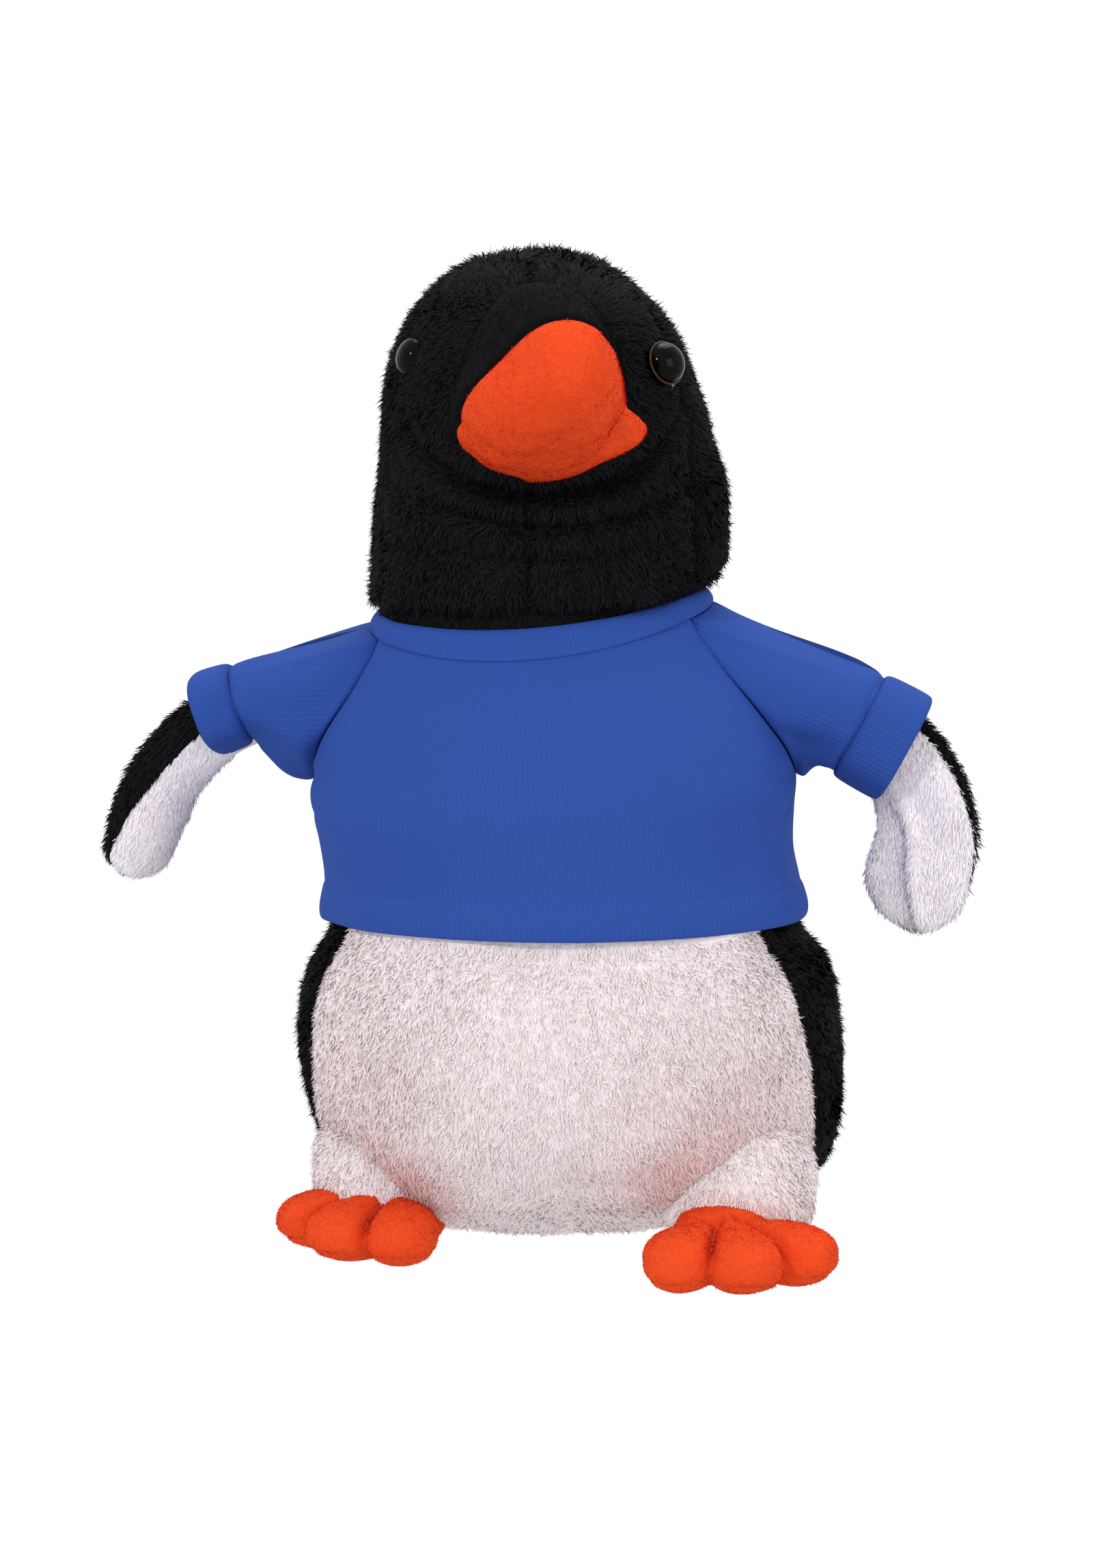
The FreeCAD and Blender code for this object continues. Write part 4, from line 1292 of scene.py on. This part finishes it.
def sleeve_root(side, turn):
    """The sleeve's edge on the body: from its top, turn runs down the front seam and up the back."""
    wrapped = np.mod(turn + math.pi, 2 * math.pi) - math.pi
    part = np.abs(wrapped)
    corner = math.radians(42)
    edges = []
    for behind in (False, True):
        by_neck = math.pi / 2 - (math.pi / 2 - NECK_EDGE) * np.clip(part / corner, 0, 1)
        seam = mix(raglan_top(side, behind), ARMPIT[side], slope(part, corner, math.pi))
        angle = np.where(part < corner, by_neck, raglan(side, seam, behind))
        around = SIDES[side] * (math.pi - angle if behind else angle)
        edges.append(shirt_point(around, np.where(part < corner, neckline(around), seam), -0.1))
    return np.where(wrapped[..., None] > 0, *edges)


def sleeve_end(side, turn, back=0.0, grow=0.0):
    """The ring at the cuff's seam, or back millimetres inside it."""
    tall, deep = CUFF_SIZE[side]
    place = SLEEVE[side]
    return place((tall + grow) * np.cos(turn), -(deep + grow) * np.sin(turn), 0 * turn - back)


def make_sleeve(side):
    """Cloth that runs from the raglan seam to the cuff, gathered at the armpit."""
    rows, columns = 70, 120
    turn = whole_turn(columns)
    root = sleeve_root(side, turn)[0]
    ring = sleeve_end(side, turn[0], back=CUFF_WIDTH[side] - 0.5)
    share = np.linspace(0, 1, rows)[:, None, None]
    reach = np.linalg.norm(ring - root, axis=1)[:, None]
    lean = SLEEVE[side].up * reach * 0.9
    grid = ((1 + 2 * share) * (1 - share) ** 2 * root + share * (1 - share) ** 2 * lean
            + share ** 2 * (3 - 2 * share) * ring + share ** 2 * (share - 1) * lean)
    normals = grid_normals(grid, True, SHOULDER[side])
    under = bump(turn - math.pi, 1.1)
    run = share[..., 0]
    spots = stacked(turn * 11, run * 26, 0 * run)
    folds = 0.9 * np.sin(turn * 6 + 4.5 * run + SIDES[side]) * under * ramp(run, 0.05, 0.3)
    folds = folds * (1 - ramp(run, 0.75, 1))
    folds = folds + 0.35 * ripple(spots, 9, 150 + SIDES[side]) * ramp(run, 0, 0.2) * (1 - ramp(run, 0.8, 1))
    seams = -0.25 * bump(run * 26, 0.8) - 0.7 * bump((1 - run) * 26, 1.0)
    seams = seams + SLEEVE_SAG[side] * bump(turn - math.pi, 0.8) * np.sin(math.pi * run)
    grid = grid + (folds + seams)[..., None] * normals
    knit = stacked(turn * 11.5, run * 30)
    piece = cloth_shell(f"sleeve_{side}_cloth", grid, knit, BLUE_KNIT, KNIT_THICK, True, SHOULDER[side])
    joined_to_wing(piece)
    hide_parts(f"sleeve_{side}")


def joined_to_wing(piece):
    """Bakes the sleeve's placement into its mesh."""
    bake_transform(piece)


def make_cuff(side):
    """A folded band round the sleeve's end, turned in at its rim."""
    columns = 120
    turn = whole_turn(columns)
    wide = CUFF_WIDTH[side]
    section = curve_through([(-0.9, wide - 0.2), (0.35, wide - 1.0), (0.75, wide - 4.0), (0.8, 1.6),
                             (0.2, 0.2), (-0.9, 0.3), (-1.3, 1.5), (-1.4, 5.0), (-1.3, 12)], 44)
    grow = section[:, :1] + 0.25 * ripple(np.stack([np.cos(turn), np.sin(turn)], -1), 0.5, 160)
    grid = sleeve_end(side, turn + 0 * section[:, :1], back=section[:, 1:], grow=grow)
    knit = stacked(turn * 11.5, section[:, 1:])
    piece = cloth_shell(f"cuff_{side}_cloth", grid, knit, BLUE_RIB, 0.5, True, SLEEVE[side](0, 0, -6))
    finish_piece(piece, f"wing_{side}", [f"cuff_{side}"])


def band(name, node, section, low_line, width, columns=260):
    """A folded band round the trunk: section points are (out from the shirt, share of the width up)."""
    turn = whole_turn(columns, -math.pi)
    section = curve_through(section, 40)
    height = low_line(turn) + section[:, 1:] * width(turn)
    grid = shirt_point(turn, height, section[:, :1])
    knit = stacked(turn * 44, section[:, 1:])
    piece = cloth_shell(name, grid, knit, BLUE_RIB, 0.5, True, TRUNK(0, 0, 90))
    finish_piece(piece, "torso", [node])
    return piece


def make_bands():
    """The hem and the neckband, both folded double and sewn on along a seam."""
    hem = band("hem_band_cloth", "hem_band",
               [(-0.8, 1.06), (0.1, 0.99), (0.5, 0.7), (0.6, 0.28), (0.2, 0.03), (-0.6, 0.0), (-1.2, 0.2),
                (-1.3, 0.85)], hem_line, hem_width)
    neck = band("neckband_cloth", "neckband",
                [(-0.8, -0.08), (0.1, 0.04), (0.4, 0.33), (0.1, 0.7), (-0.5, 0.92), (-1.3, 1.0),
                 (-1.9, 0.86), (-2.0, 0.3)], neckline, neckband_width)


# ---------- what stays as the CAD made it ----------

def finish_cad_nodes():
    """The pieces inside keep their CAD shape and get their own materials."""
    finishes = {"pellet_pouch": POUCH_CLOTH, "pellets": PELLET_PLASTIC,
                "eye_washer_left": WASHER_PLASTIC, "eye_washer_right": WASHER_PLASTIC}
    for name, material in finishes.items():
        for slot in frame["nodes"][name].material_slots:
            slot.material = material


# ---------- stage ----------

# In metres, as are the lamps' places.
CAMERA_AIM = (0.0062, 0.0062, 0.0889)
CAMERA_AZIMUTH = math.radians(6)
CAMERA_DISTANCE = 0.700
CAMERA_HEIGHT = 0.181

def make_stage():
    """An even white studio with no floor, dimmer in front of the penguin than behind it."""
    world = bpy.data.worlds.new("studio")
    world.use_nodes = True
    nodes, links = world.node_tree.nodes, world.node_tree.links
    place = nodes.new("ShaderNodeTexCoord")
    parts = nodes.new("ShaderNodeSeparateXYZ")
    fade = nodes.new("ShaderNodeMapRange")
    for socket, number in (("From Min", 0.4), ("From Max", 0.88), ("To Min", 0.88), ("To Max", 1.03)):
        fade.inputs[socket].default_value = number
    links.new(place.outputs["Generated"], parts.inputs["Vector"])
    links.new(parts.outputs["Y"], fade.inputs["Value"])
    links.new(fade.outputs["Result"], nodes["Background"].inputs["Strength"])
    nodes["Background"].inputs["Color"].default_value = (1, 1, 1, 1)
    bpy.context.scene.world = world
    bpy.context.scene.view_settings.view_transform = "Standard"
    add_softbox("key", (-0.55, -0.95, 0.75), 0.12, 5)
    add_softbox("fill", (0.9, -0.7, 0.45), 0.6, 3)
    add_softbox("top", (0.1, 0.35, 1.0), 0.6, 4)
    add_camera()


def add_softbox(name, place, size, power):
    light = bpy.data.lights.new(name, "AREA")
    light.shape = "SQUARE"
    light.size = size
    light.energy = power
    lamp = bpy.data.objects.new(name, light)
    lamp.location = place
    lamp.rotation_euler = (Vector((0, 0, 0.09)) - Vector(place)).to_track_quat("-Z", "Y").to_euler()
    bpy.context.scene.collection.objects.link(lamp)


def add_camera():
    """A long lens a little to the right of the front and at the height of the crown, looking down."""
    aim = Vector(CAMERA_AIM)
    place = Vector((aim.x + CAMERA_DISTANCE * math.sin(CAMERA_AZIMUTH),
                    aim.y - CAMERA_DISTANCE * math.cos(CAMERA_AZIMUTH), CAMERA_HEIGHT))
    lens = bpy.data.cameras.new("camera")
    lens.sensor_fit = "HORIZONTAL"
    lens.sensor_width = 36
    lens.lens = 112.6
    lens.clip_start = 0.01
    camera = bpy.data.objects.new("camera", lens)
    camera.location = place
    camera.rotation_euler = (aim - place).to_track_quat("-Z", "Y").to_euler()
    bpy.context.scene.collection.objects.link(camera)
    bpy.context.scene.camera = camera


make_body()
make_neck()
make_head()
make_bill()
for side in SIDES:
    make_eye(side)
    make_leg(side)
    make_foot(side)
    make_wing(side)
make_shirt_body()
for side in SIDES:
    make_sleeve(side)
    make_cuff(side)
make_bands()
finish_cad_nodes()
make_stage()
